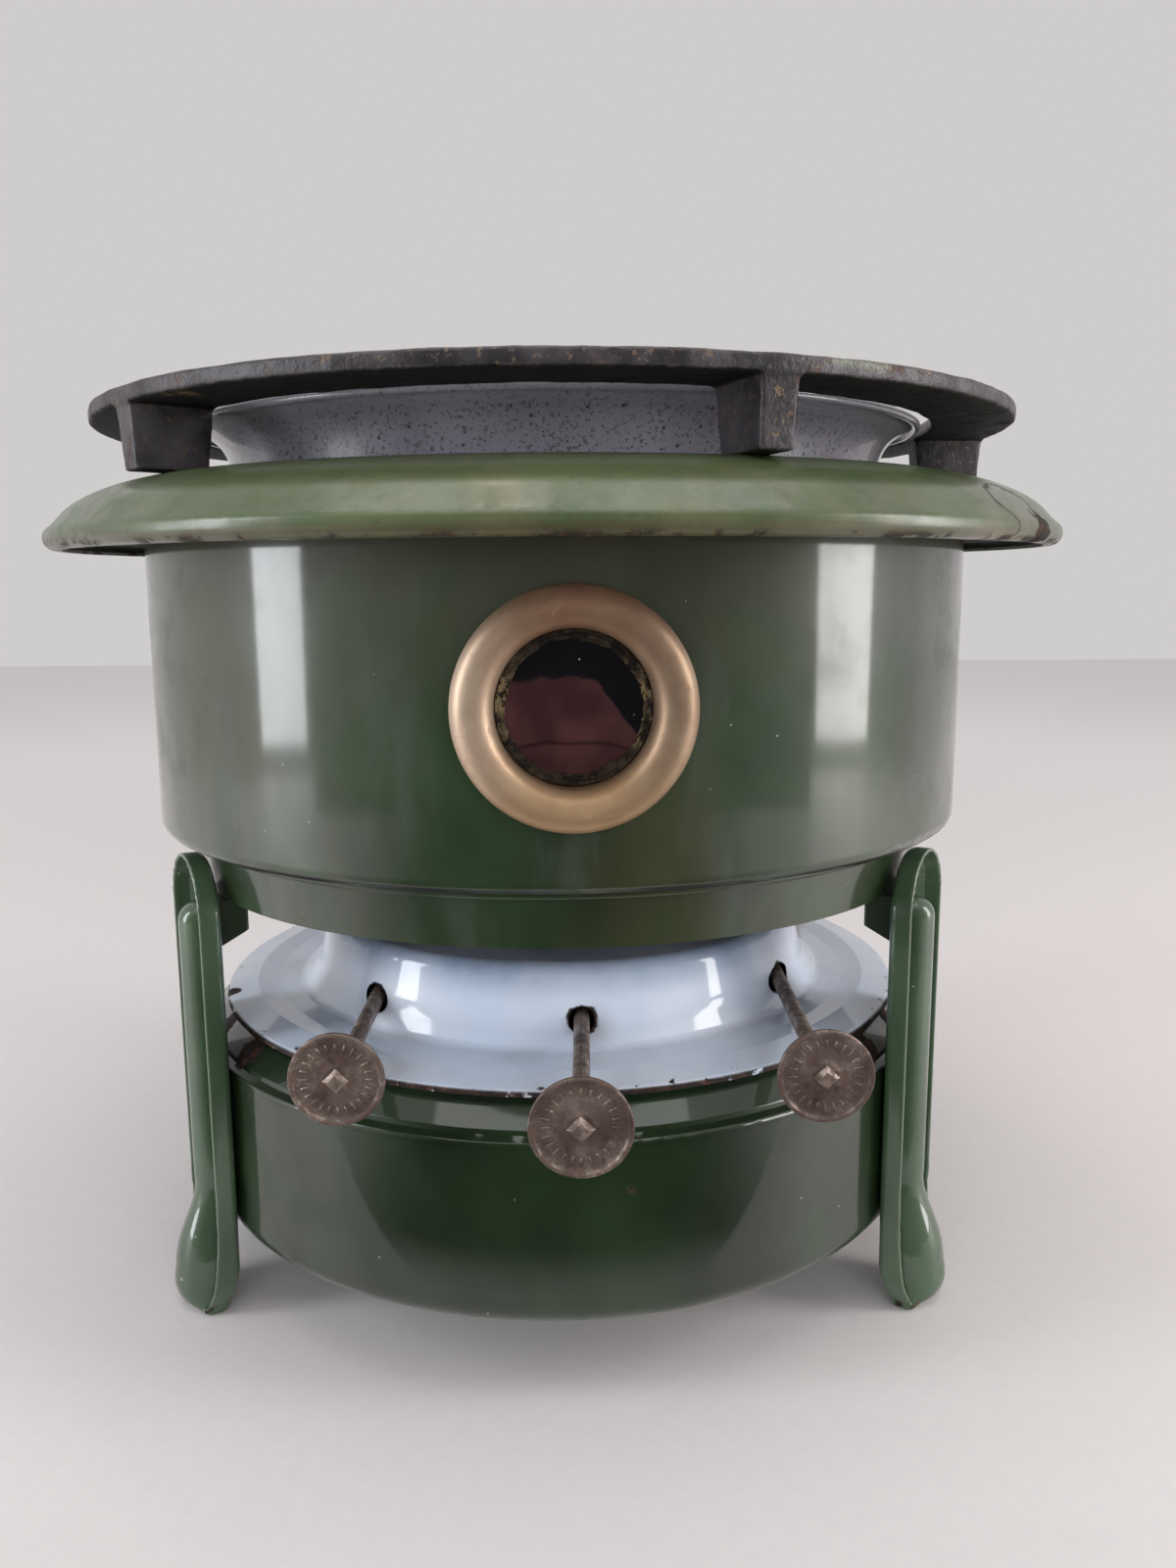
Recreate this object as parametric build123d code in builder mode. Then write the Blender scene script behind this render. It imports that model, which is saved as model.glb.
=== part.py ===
from build123d import *
import os
from math import cos, hypot, pi, radians, sin

# Kerosene cooker with three flat wicks. Millimetres, +Z up, front towards -Y.
# The origin is on the table, under the centre of the tank.
# Widths build up from the wicks outward, and heights from the table upward.
os.makedirs("parts", exist_ok=True)

# Directions: an azimuth is measured round Z from the front, towards +X
leg_azimuths = {"left": -60.0, "right": 60.0, "rear": 180.0}
window_azimuth = 2.8
pot_foot_azimuth = 22.0
filler_azimuth = 120.0

# Clearances
seam_gap = 0.1
rest_gap = 0.1
lift_gap = 0.4
running_gap = 0.05
press_gap = 0.02

# Wicks and their tubes
wick_spacing = 55.0
wick_width = 58.0
wick_thickness = 3.6
wick_side_gap = 0.4
wick_sump_gap = 15.9
wick_rise = 4.0
tube_sheet = 0.8
tube_corner = 1.2
tube_dip = 16.6
tube_head_gap = 0.3
wick_offsets = {"left": -wick_spacing, "centre": 0.0, "right": wick_spacing}
tube_half_width = wick_thickness / 2 + wick_side_gap + tube_sheet
tube_half_length = wick_width / 2 + wick_side_gap + tube_sheet

# White drip plate: dome over the wheel boxes, rise, trough, slope and rim, from the middle out
plate_sheet = 0.8
dome_side_gap = 4.8
dome_lean = 3.4
plate_rise_width = 4.4
plate_trough_width = 8.0
plate_slope_width = 6.1
plate_rim_width = 8.8
dome_corner = 3.5
dome_top_radius = hypot(wick_spacing + tube_half_width, tube_half_length) + dome_side_gap
dome_foot_radius = dome_top_radius + dome_lean
plate_rise_radius = dome_foot_radius + plate_rise_width
plate_trough_radius = plate_rise_radius + plate_trough_width
plate_crease_radius = plate_trough_radius + plate_slope_width
plate_rim_radius = plate_crease_radius + plate_rim_width
plate_bends = [0.5, 1.0, 4.0, 4.0, 8.0, dome_corner]

# Fuel tank
sheet = 0.8
tank_margin = 6.3
tank_floor_z = 22.1
tank_wall_height = 45.4
tank_corner = 5.0
tank_lip = 1.1
tank_crease_inset = 2.6
tank_crease_rise = 3.1
tank_shoulder_inset = 8.2
tank_shoulder_rise = 7.5
tank_deck_inset = 14.7
tank_deck_rise = 11.1
tank_bends = [0.4, 0.4, 0.4, 3.0, 3.0]
tank_radius = plate_rim_radius + tank_margin
tank_seam_z = tank_floor_z + tank_wall_height
tank_deck_z = tank_seam_z + tank_deck_rise
wick_bottom_z = tank_floor_z + wick_sump_gap
tube_bottom_z = tank_deck_z - tube_dip

# Heights of the drip plate over the tank
plate_rim_drop = 0.5
plate_crease_rise = 1.7
dome_foot_rise = 6.4
dome_height = 21.0
spindle_rise = 7.4
dome_foot_z = tank_deck_z + dome_foot_rise
dome_top_z = tank_deck_z + dome_height
spindle_z = tank_deck_z + spindle_rise

# Brackets that carry the mantle
air_gap = 14.9
bracket_half_width = 9.5
bracket_depth = 8.3
bracket_height = 12.5
bracket_slope = 4.0
bracket_corner = 0.8
bracket_top_z = dome_top_z + air_gap

# Legs
leg_half_width = 15.5
leg_depth = 6.0
leg_sheet = 1.0
leg_head_height = 11.5
leg_head_radius = 15.0
leg_corner = 1.8
foot_tip_half_width = 10.0
foot_half_width = 14.0
foot_waist_z = 9.0
foot_shoulder_z = 34.0
foot_bends = [4.0, 12.0, 30.0]
foot_heel_z = 24.0
foot_heel_depth = 4.2
foot_heel_radius = 70.0
foot_flare = 3.2
foot_flare_z = 26.0
foot_flare_radius = 116.0
rib_half_width = 5.5
rib_height = 7.9
rib_end_drop = 18.0
# Each section of the rib's round end: rise over the straight rib, half width and crest
rib_end_sections = ((3.4, 4.7, 6.4), (5.2, 2.9, 3.0))
# Each toe section: height, half width, crest and base measured from the leg's back
toe_sections = (
    (30.0, 5.8, 8.4, 0.5),
    (23.0, 7.7, 11.1, 0.5),
    (16.0, 9.5, 13.5, 1.0),
    (8.5, 10.3, 14.3, 2.0),
    (3.0, 9.8, 13.6, 3.2),
    (0.0, 8.4, 12.4, 4.4),
)
toe_start_z = 36.0
leg_inner = tank_radius + seam_gap
leg_top_z = bracket_top_z + leg_head_height

# Wheel boxes on the tubes
box_sheet = 0.6
box_half_length = 15.0
box_half_height = 5.6
wheel_gap = 0.3

# Spindles, knobs and star wheels
spindle_offset = 6.5
spindle_radius = 2.0
spindle_tail = 1.0
spindle_plate_gap = 1.35
wheel_radius = 4.4
wheel_root_radius = 3.2
wheel_thickness = 1.2
wheel_teeth = 8
wheel_spacing = 9.0
wheel_count = 3
knob_radius = 11.0
knob_thickness = 1.4
knob_rim = 1.1
knob_rim_height = 0.7
knob_bend = 1.0
knob_side_reach = 0.8
knob_centre_reach = 25.8
nub_neck_radius = 1.4
nub_width = 4.2
nub_height = 2.0
nub_chamfer = 0.9

# Filler neck and cap
filler_inset = 0.5
filler_neck_radius = 6.0
filler_neck_wall = 1.0
filler_neck_height = 11.0
filler_neck_flange = 0.7
filler_flange_height = 0.8
filler_plate_gap = 1.3
filler_distance = plate_trough_radius - filler_inset
cap_radius = 8.6
cap_top = 1.6
cap_skirt_height = 7.5
cap_flutes = 20
cap_flute_radius = 0.5
cap_bend = 0.5
seal_thickness = 1.0

# Mantle: skirt, bead and drum
mantle_sheet = 0.8
skirt_inset = 2.7
skirt_flare = 1.9
skirt_height = 14.7
drum_overhang = 9.1
drum_floor_inset = 4.5
drum_corner = 3.0
drum_height = 92.2
bead_radius = 1.1
bead_drop = 1.7
skirt_bottom_radius = leg_inner - skirt_inset
skirt_top_radius = skirt_bottom_radius + skirt_flare
skirt_base_z = bracket_top_z + rest_gap
drum_radius = skirt_top_radius + drum_overhang
drum_floor_z = skirt_base_z + skirt_height
drum_floor_radius = skirt_top_radius - drum_floor_inset
tube_top_z = drum_floor_z - tube_head_gap
wick_top_z = tube_top_z + wick_rise

# Collar: flat top round the hole, domed shade and a rolled edge
collar_sheet = 0.9
collar_overhang = 24.4
collar_flat_overhang = 1.9
collar_flat_width = 25.8
collar_drop = 14.2
collar_roll = 2.45
collar_lip = 1.5
collar_crease_slope = (1.0, -0.22)
# Each point of the shade: inset from its widest line and drop below its flat top
collar_points = ((15.05, 2.0), (9.25, 4.55), (4.75, 7.85), (1.65, 11.15))
collar_radius = drum_radius + collar_overhang
collar_flat_radius = drum_radius + collar_flat_overhang
collar_hole_radius = collar_flat_radius - collar_flat_width
collar_flat_z = drum_floor_z + drum_height

# Window in the drum
window_rise = 40.5
window_bore = 16.8
bezel_sheet = 0.8
bezel_radius = 26.0
bezel_height = 6.5
bezel_rim_height = 0.6
bezel_tail = 4.0
pane_thickness = 0.3
retainer_thickness = 0.8
retainer_lip = 1.2
window_z = drum_floor_z + window_rise

# Flame deck inside the mantle
deck_sheet = 0.8
deck_side_gap = 3.8
slot_end_gap = 7.0
slot_side_gap = 4.2
slot_height = 7.0
air_hole_radius = 2.0
air_hole_insets = (24.0, 14.0)
air_hole_counts = (36, 40)
deck_radius = drum_radius - mantle_sheet - drum_corner - deck_side_gap
slot_half_length = wick_width / 2 + slot_end_gap
slot_half_width = wick_thickness / 2 + slot_side_gap

# Funnel between the flames and the pot
funnel_sheet = 0.9
funnel_side_gap = 3.5
funnel_depth = 33.5
funnel_hip_drop = 15.5
# Each point of the mouth: flare from the neck and rise over the collar's flat top
funnel_points = ((0.6, -7.0), (2.5, 0.5), (3.7, 6.5), (6.0, 11.2), (10.0, 14.5))
funnel_flare = 13.6
funnel_rise = 15.4
funnel_curl = 1.1
funnel_bead = 1.1
funnel_neck_radius = collar_hole_radius - funnel_side_gap
funnel_bore_radius = funnel_neck_radius - funnel_sheet
funnel_rim_radius = funnel_neck_radius + funnel_flare
funnel_rim_z = collar_flat_z + funnel_rise

# Pot ring
ring_hole_gap = 2.7
ring_width = 21.4
ring_height = 18.9
ring_thickness = 3.9
ring_edge = 0.8
ring_feet = 5
foot_width = 9.0
foot_base_width = 7.6
foot_inner_taper = 1.6
foot_outer_taper = 1.0
ring_hole_radius = funnel_rim_radius + funnel_curl + ring_hole_gap
ring_radius = ring_hole_radius + ring_width
ring_top_z = collar_flat_z + ring_height


def outward(azimuth):
    """Unit vector that points away from the axis at an azimuth."""
    return Vector(sin(radians(azimuth)), -cos(radians(azimuth)), 0)


def radial_plane(azimuth):
    """Upright plane through the axis: local x outward, local y up."""
    out = outward(azimuth)
    return Plane(origin=(0, 0, 0), x_dir=out, z_dir=out.cross(Vector(0, 0, 1)))


def facing_plane(azimuth, distance, height=0.0):
    """Upright plane that faces outward: local x sideways, local y up."""
    out = outward(azimuth)
    return Plane(origin=out * distance + Vector(0, 0, height), x_dir=Vector(0, 0, 1).cross(out), z_dir=out)


def level_plane(azimuth, distance, height):
    """Level plane at a point beside the axis: local x outward."""
    out = outward(azimuth)
    return Plane(origin=out * distance + Vector(0, 0, height), x_dir=out, z_dir=(0, 0, 1))


# Tank bowl: a deep round pan
with BuildPart() as tank_bowl:
    with BuildSketch(Plane.XZ):
        with BuildLine():
            FilletPolyline(
                (0, tank_floor_z + sheet / 2),
                (tank_radius - sheet / 2, tank_floor_z + sheet / 2),
                (tank_radius - sheet / 2, tank_seam_z),
                radius=tank_corner,
            )
        trace(line_width=sheet)
    revolve(axis=Axis.Z)
tank_bowl.part.label = "tank_bowl"
export_step(tank_bowl.part, "parts/tank_bowl.step")

# Tank top: seam lip, crease, sloping shoulder and a level deck with the tube slots
filler_plane = level_plane(filler_azimuth, filler_distance, tank_deck_z)
with BuildPart() as tank_top:
    with BuildSketch(Plane.XZ):
        with BuildLine():
            FilletPolyline(
                (tank_radius - sheet / 2, tank_seam_z + seam_gap / 2),
                (tank_radius - sheet / 2, tank_seam_z + tank_lip),
                (tank_radius - tank_crease_inset, tank_seam_z + tank_crease_rise - tank_lip),
                (tank_radius - tank_crease_inset - sheet / 2, tank_seam_z + tank_crease_rise),
                (tank_radius - tank_shoulder_inset, tank_seam_z + tank_shoulder_rise),
                (tank_radius - tank_deck_inset, tank_deck_z - sheet / 2),
                (0, tank_deck_z - sheet / 2),
                radius=tank_bends,
            )
        trace(line_width=sheet)
    revolve(axis=Axis.Z)
    with BuildSketch(Plane.XY.offset(tube_bottom_z)):
        with Locations(*[(x, 0) for x in wick_offsets.values()]):
            Rectangle(2 * (tube_half_width + seam_gap), 2 * (tube_half_length + seam_gap))
    extrude(amount=tank_deck_z - tube_bottom_z + sheet, mode=Mode.SUBTRACT)
    with BuildSketch(filler_plane.offset(-2 * sheet)):
        Circle(filler_neck_radius - filler_neck_wall)
    extrude(amount=3 * sheet, mode=Mode.SUBTRACT)
tank_top.part.label = "tank_top"
export_step(tank_top.part, "parts/tank_top.step")

# Drip plate: hanging rim, crease, trough and the closed dome round the wick tubes
trough_z = tank_deck_z + seam_gap + plate_sheet / 2
plate_rim_z = tank_deck_z - plate_rim_drop
with BuildPart() as drip_plate:
    with BuildSketch(Plane.XZ):
        with BuildLine():
            FilletPolyline(
                (plate_rim_radius - plate_sheet / 2, plate_rim_z - plate_sheet),
                (plate_rim_radius - plate_sheet, plate_rim_z + plate_sheet / 2),
                (plate_crease_radius, tank_deck_z + plate_crease_rise - plate_sheet / 2),
                (plate_trough_radius, trough_z),
                (plate_rise_radius, trough_z),
                (dome_foot_radius, dome_foot_z),
                (dome_top_radius, dome_top_z - plate_sheet / 2),
                (0, dome_top_z - plate_sheet / 2),
                radius=plate_bends,
            )
        trace(line_width=plate_sheet)
    revolve(axis=Axis.Z)
    with BuildSketch(Plane.XY.offset(dome_foot_z)):
        with Locations(*[(x, 0) for x in wick_offsets.values()]):
            Rectangle(2 * (tube_half_width + seam_gap), 2 * (tube_half_length + seam_gap))
    extrude(amount=dome_top_z, mode=Mode.SUBTRACT)
    with BuildSketch(Plane.XZ.offset(tube_half_length)):
        with Locations(*[(x + spindle_offset, spindle_z) for x in wick_offsets.values()]):
            Circle(spindle_radius + spindle_plate_gap)
    extrude(amount=plate_rim_radius, mode=Mode.SUBTRACT)
    with BuildSketch(filler_plane.offset(-plate_sheet)):
        Circle(filler_neck_radius + filler_plate_gap)
    extrude(amount=dome_top_z - tank_deck_z, mode=Mode.SUBTRACT)
drip_plate.part.label = "drip_plate"
export_step(drip_plate.part, "parts/drip_plate.step")

# Legs: pressed trays that open outward, with a solid rib that flares into the toe
leg_side = (
    (foot_tip_half_width, 0),
    (foot_half_width, foot_waist_z),
    (leg_half_width, foot_shoulder_z),
    (leg_half_width, leg_top_z),
)
leg_outline = [(-across, height) for across, height in leg_side] + list(reversed(leg_side))
leg_bends = [*foot_bends, leg_head_radius, leg_head_radius, *reversed(foot_bends)]
rib_end_z = leg_top_z - rib_end_drop
rib_section = (rib_half_width, rib_height, leg_sheet / 2)


def rib_profile(plane, half_width, crest, base):
    """Half-round section of the rib: a flat base and a crest away from the leg's back."""
    with BuildSketch(plane) as profile:
        with BuildLine():
            ThreePointArc((base, -half_width), (crest, 0), (base, half_width))
            Line((base, half_width), (base, -half_width))
        make_face()
    return profile.sketch


for side, azimuth in leg_azimuths.items():
    with BuildPart() as leg:
        with BuildSketch(facing_plane(azimuth, leg_inner)):
            with BuildLine():
                FilletPolyline(*leg_outline, radius=leg_bends, close=True)
            make_face()
        extrude(amount=leg_depth + foot_flare)
        back_face = leg.faces().sort_by(Axis(origin=(0, 0, 0), direction=outward(azimuth)))[0]
        fillet(back_face.edges(), radius=leg_corner)
        with BuildSketch(facing_plane(azimuth, leg_inner + leg_sheet)):
            with BuildLine():
                FilletPolyline(*leg_outline, radius=leg_bends, close=True)
            make_face()
            offset(amount=-leg_sheet, mode=Mode.REPLACE)
        extrude(amount=leg_depth + foot_flare, mode=Mode.SUBTRACT)
        # Free edge: straight above, flaring outward at the foot
        with BuildSketch(radial_plane(azimuth)):
            with BuildLine():
                RadiusArc(
                    (leg_inner + leg_depth + foot_flare, -leg_sheet),
                    (leg_inner + leg_depth, foot_flare_z),
                    foot_flare_radius,
                )
                Polyline(
                    (leg_inner + leg_depth, foot_flare_z),
                    (leg_inner + leg_depth, leg_top_z + leg_sheet),
                    (leg_inner + leg_depth + foot_flare + leg_sheet, leg_top_z + leg_sheet),
                    (leg_inner + leg_depth + foot_flare + leg_sheet, -leg_sheet),
                    (leg_inner + leg_depth + foot_flare, -leg_sheet),
                )
            make_face()
        extrude(amount=leg_half_width, both=True, mode=Mode.SUBTRACT)
        # Rib: straight in the middle, with a round end above
        rib_foot = rib_profile(level_plane(azimuth, leg_inner, toe_start_z), *rib_section)
        rib_head = rib_profile(level_plane(azimuth, leg_inner, rib_end_z), *rib_section)
        extrude(rib_foot, amount=rib_end_z - toe_start_z)
        rib_end = [
            rib_profile(level_plane(azimuth, leg_inner, rib_end_z + rise), half_width, crest, leg_sheet / 2)
            for rise, half_width, crest in rib_end_sections
        ]
        loft([rib_head, *rib_end])
        # Toe: the rib swells into a spoon that stands on the table
        toe = [
            rib_profile(level_plane(azimuth, leg_inner, height), half_width, crest, base)
            for height, half_width, crest, base in toe_sections
        ]
        loft([rib_foot, *toe])
        # Heel: the back of the foot curves outward to the floor
        with BuildSketch(radial_plane(azimuth)):
            with BuildLine():
                RadiusArc(
                    (leg_inner + foot_heel_depth, -leg_sheet),
                    (leg_inner - leg_sheet, foot_heel_z),
                    foot_heel_radius,
                )
                Polyline(
                    (leg_inner - leg_sheet, foot_heel_z),
                    (leg_inner - leg_sheet, -leg_sheet),
                    (leg_inner + foot_heel_depth, -leg_sheet),
                )
            make_face()
        extrude(amount=leg_half_width, both=True, mode=Mode.SUBTRACT)
    leg.part.label = f"leg_{side}"
    export_step(leg.part, f"parts/leg_{side}.step")

# Seat brackets: blocks on the back of the legs that carry the mantle
for side, azimuth in leg_azimuths.items():
    with BuildPart() as seat_bracket:
        with BuildSketch(radial_plane(azimuth)):
            with BuildLine():
                Polyline(
                    (leg_inner, bracket_top_z),
                    (leg_inner - bracket_depth, bracket_top_z),
                    (leg_inner - bracket_depth, bracket_top_z - bracket_height + bracket_slope),
                    (leg_inner, bracket_top_z - bracket_height),
                    (leg_inner, bracket_top_z),
                )
            make_face()
        extrude(amount=bracket_half_width, both=True)
        fillet(seat_bracket.edges().filter_by(Axis.Z), radius=bracket_corner)
    seat_bracket.part.label = f"seat_bracket_{side}"
    export_step(seat_bracket.part, f"parts/seat_bracket_{side}.step")

# Wick tubes, wheel boxes, wicks, spindles, star wheels and knobs
box_reach = spindle_offset + wheel_radius + wheel_gap + box_sheet
wheel_window_half = (wheel_count - 1) / 2 * wheel_spacing + wheel_thickness
for side, offset_x in wick_offsets.items():
    spindle_x = offset_x + spindle_offset
    with BuildPart() as wick_tube:
        with BuildSketch(Plane.XY.offset(tube_bottom_z)):
            with Locations((offset_x, 0)):
                RectangleRounded(2 * tube_half_width, 2 * tube_half_length, tube_corner)
                Rectangle(
                    2 * (tube_half_width - tube_sheet),
                    2 * (tube_half_length - tube_sheet),
                    mode=Mode.SUBTRACT,
                )
        extrude(amount=tube_top_z - tube_bottom_z)
        with BuildSketch(Plane.YZ.offset(offset_x)):
            with Locations((0, spindle_z)):
                Rectangle(2 * wheel_window_half, 2 * (box_half_height - 2 * box_sheet))
        extrude(amount=tube_half_width + tube_sheet, mode=Mode.SUBTRACT)
    wick_tube.part.label = f"wick_tube_{side}"
    export_step(wick_tube.part, f"parts/wick_tube_{side}.step")

    with BuildPart() as wheel_box:
        with BuildSketch(Plane.XZ.offset(-box_half_length)):
            with Locations((offset_x + (tube_half_width + box_reach) / 2, spindle_z)):
                Rectangle(box_reach - tube_half_width, 2 * box_half_height)
        extrude(amount=2 * box_half_length)
        with BuildSketch(Plane.XZ.offset(-box_half_length + box_sheet)):
            with Locations((offset_x + (tube_half_width + box_reach - box_sheet) / 2, spindle_z)):
                Rectangle(
                    box_reach - box_sheet - tube_half_width,
                    2 * (box_half_height - box_sheet),
                )
        extrude(amount=2 * (box_half_length - box_sheet), mode=Mode.SUBTRACT)
        with BuildSketch(Plane.XZ.offset(-box_half_length)):
            with Locations((spindle_x, spindle_z)):
                Circle(spindle_radius + running_gap)
        extrude(amount=2 * box_half_length, mode=Mode.SUBTRACT)
    wheel_box.part.label = f"wheel_box_{side}"
    export_step(wheel_box.part, f"parts/wheel_box_{side}.step")

    with BuildPart() as wick:
        with BuildSketch(Plane.XY.offset(wick_bottom_z)):
            with Locations((offset_x, 0)):
                Rectangle(wick_thickness, wick_width)
        extrude(amount=wick_top_z - wick_bottom_z)
    wick.part.label = f"wick_{side}"
    export_step(wick.part, f"parts/wick_{side}.step")

    with BuildPart() as star_wheels:
        for place in range(wheel_count):
            wheel_y = (place - (wheel_count - 1) / 2) * wheel_spacing
            with BuildSketch(Plane.XZ.offset(-wheel_y - wheel_thickness / 2)):
                with BuildLine():
                    Polyline(
                        *[
                            (
                                spindle_x + radius * cos(2 * pi * (tooth + shift) / wheel_teeth),
                                spindle_z + radius * sin(2 * pi * (tooth + shift) / wheel_teeth),
                            )
                            for tooth in range(wheel_teeth)
                            for radius, shift in ((wheel_radius, 0.0), (wheel_root_radius, 0.5))
                        ],
                        close=True,
                    )
                make_face()
                with Locations((spindle_x, spindle_z)):
                    Circle(spindle_radius + press_gap, mode=Mode.SUBTRACT)
            extrude(amount=wheel_thickness)
    star_wheels.part.label = f"star_wheels_{side}"
    export_step(star_wheels.part, f"parts/star_wheels_{side}.step")

    # The rod ends in a thin neck through the knob and a square riveted head
    knob_y = tank_radius + (knob_side_reach if offset_x else knob_centre_reach)
    with BuildPart() as spindle:
        with BuildSketch(Plane.XZ.offset(-box_half_length - spindle_tail)):
            with Locations((spindle_x, spindle_z)):
                Circle(spindle_radius)
        extrude(amount=knob_y + box_half_length + spindle_tail)
        with BuildSketch(Plane.XZ.offset(knob_y)):
            with Locations((spindle_x, spindle_z)):
                Circle(nub_neck_radius)
        extrude(amount=knob_thickness + 2 * press_gap)
        with BuildSketch(Plane.XZ.offset(knob_y + knob_thickness + 2 * press_gap)):
            with Locations((spindle_x, spindle_z)):
                Rectangle(nub_width, nub_width, rotation=45)
        extrude(amount=nub_height)
        chamfer(spindle.faces().sort_by(Axis.Y)[0].edges(), length=nub_chamfer)
    spindle.part.label = f"spindle_{side}"
    export_step(spindle.part, f"parts/spindle_{side}.step")

    with BuildPart() as knob:
        with BuildSketch(Plane.XZ.offset(knob_y + press_gap)):
            with Locations((spindle_x, spindle_z)):
                Circle(knob_radius)
                Circle(nub_neck_radius + press_gap, mode=Mode.SUBTRACT)
        extrude(amount=knob_thickness)
        with BuildSketch(Plane.XZ.offset(knob_y + press_gap + knob_thickness)):
            with Locations((spindle_x, spindle_z)):
                Circle(knob_radius)
                Circle(knob_radius - knob_rim, mode=Mode.SUBTRACT)
        extrude(amount=knob_rim_height)
        fillet(knob.faces().sort_by(Axis.Y)[-1].edges().sort_by(SortBy.LENGTH)[-1], radius=knob_bend)
    knob.part.label = f"knob_{side}"
    export_step(knob.part, f"parts/knob_{side}.step")

# Filler neck on the tank, its washer and its fluted screw cap
with BuildPart() as filler_neck:
    with BuildSketch(filler_plane.offset(seam_gap)):
        Circle(filler_neck_radius + filler_neck_flange)
        Circle(filler_neck_radius - filler_neck_wall, mode=Mode.SUBTRACT)
    extrude(amount=filler_flange_height)
    with BuildSketch(filler_plane.offset(seam_gap)):
        Circle(filler_neck_radius)
        Circle(filler_neck_radius - filler_neck_wall, mode=Mode.SUBTRACT)
    extrude(amount=filler_neck_height)
filler_neck.part.label = "filler_neck"
export_step(filler_neck.part, "parts/filler_neck.step")

seal_base = seam_gap + filler_neck_height + rest_gap
with BuildPart() as cap_seal:
    with BuildSketch(filler_plane.offset(seal_base)):
        Circle(filler_neck_radius)
        Circle(filler_neck_radius - 2 * filler_neck_wall, mode=Mode.SUBTRACT)
    extrude(amount=seal_thickness)
cap_seal.part.label = "cap_seal"
export_step(cap_seal.part, "parts/cap_seal.step")

cap_base = seal_base + seal_thickness + seam_gap
with BuildPart() as filler_cap:
    with BuildSketch(filler_plane.offset(cap_base)):
        Circle(cap_radius)
    extrude(amount=cap_top)
    with BuildSketch(filler_plane.offset(cap_base)):
        Circle(cap_radius)
        Circle(filler_neck_radius + lift_gap, mode=Mode.SUBTRACT)
    extrude(amount=-cap_skirt_height)
    with BuildSketch(filler_plane.offset(cap_base - cap_skirt_height)):
        with PolarLocations(cap_radius, cap_flutes):
            Circle(cap_flute_radius)
    extrude(amount=cap_skirt_height, mode=Mode.SUBTRACT)
    fillet(filler_cap.faces().sort_by(Axis.Z)[-1].edges(), radius=cap_bend)
filler_cap.part.label = "filler_cap"
export_step(filler_cap.part, "parts/filler_cap.step")

# Skirt: slightly tapered sheet whose lower edge stands on the brackets
with BuildPart() as skirt:
    with BuildSketch(Plane.XZ):
        with BuildLine():
            Polyline(
                (skirt_bottom_radius - mantle_sheet / 2, skirt_base_z),
                (skirt_top_radius - mantle_sheet / 2, drum_floor_z - seam_gap),
            )
        trace(line_width=mantle_sheet)
        with Locations((0, skirt_base_z)):
            Rectangle(2 * leg_inner, skirt_base_z, align=(Align.CENTER, Align.MAX), mode=Mode.SUBTRACT)
        with Locations((0, drum_floor_z - seam_gap)):
            Rectangle(2 * leg_inner, skirt_base_z, align=(Align.CENTER, Align.MIN), mode=Mode.SUBTRACT)
    revolve(axis=Axis.Z)
skirt.part.label = "skirt"
export_step(skirt.part, "parts/skirt.step")

# Bead: the rolled seam round the top of the skirt
bead_z = drum_floor_z - bead_drop
with BuildPart() as seam_bead:
    with BuildSketch(Plane.XZ):
        with Locations((skirt_top_radius + seam_gap, bead_z)):
            Circle(bead_radius)
        with Locations((0, bead_z)):
            Rectangle(
                2 * (skirt_top_radius + seam_gap), 4 * bead_radius, mode=Mode.SUBTRACT
            )
    revolve(axis=Axis.Z)
seam_bead.part.label = "seam_bead"
export_step(seam_bead.part, "parts/seam_bead.step")

# Drum: straight wall with an inward floor and the window hole, up to just under the collar
drum_top_z = collar_flat_z - collar_sheet - rest_gap
window_hole = window_bore + bezel_sheet + seam_gap
with BuildPart() as drum:
    with BuildSketch(Plane.XZ):
        with BuildLine():
            FilletPolyline(
                (drum_floor_radius, drum_floor_z + mantle_sheet / 2),
                (drum_radius - mantle_sheet / 2, drum_floor_z + mantle_sheet / 2),
                (drum_radius - mantle_sheet / 2, drum_top_z),
                radius=drum_corner,
            )
        trace(line_width=mantle_sheet)
    revolve(axis=Axis.Z)
    with BuildSketch(facing_plane(window_azimuth, drum_radius / 2, window_z)):
        Circle(window_hole)
    extrude(amount=drum_radius, mode=Mode.SUBTRACT)
drum.part.label = "drum"
export_step(drum.part, "parts/drum.step")

# Collar: flat top, domed shade round the top of the drum, and a rolled edge
collar_top = collar_flat_z - collar_sheet / 2
collar_widest = collar_radius - collar_sheet / 2
with BuildPart() as collar:
    with BuildSketch(Plane.XZ):
        with BuildLine():
            flat_line = Line((collar_hole_radius, collar_top), (collar_flat_radius, collar_top))
            dome_line = Spline(
                flat_line @ 1,
                *[(collar_widest - inset, collar_top - drop) for inset, drop in collar_points],
                (collar_widest, collar_top - collar_drop + collar_sheet / 2),
                tangents=(Vector(*collar_crease_slope), Vector(0, -1)),
            )
            roll_line = RadiusArc(
                dome_line @ 1, (dome_line @ 1) - Vector(collar_roll, collar_roll), collar_roll
            )
            Line(roll_line @ 1, (roll_line @ 1) - Vector(collar_lip, 0))
        trace(line_width=collar_sheet)
    revolve(axis=Axis.Z)
collar.part.label = "collar"
export_step(collar.part, "parts/collar.step")

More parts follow.
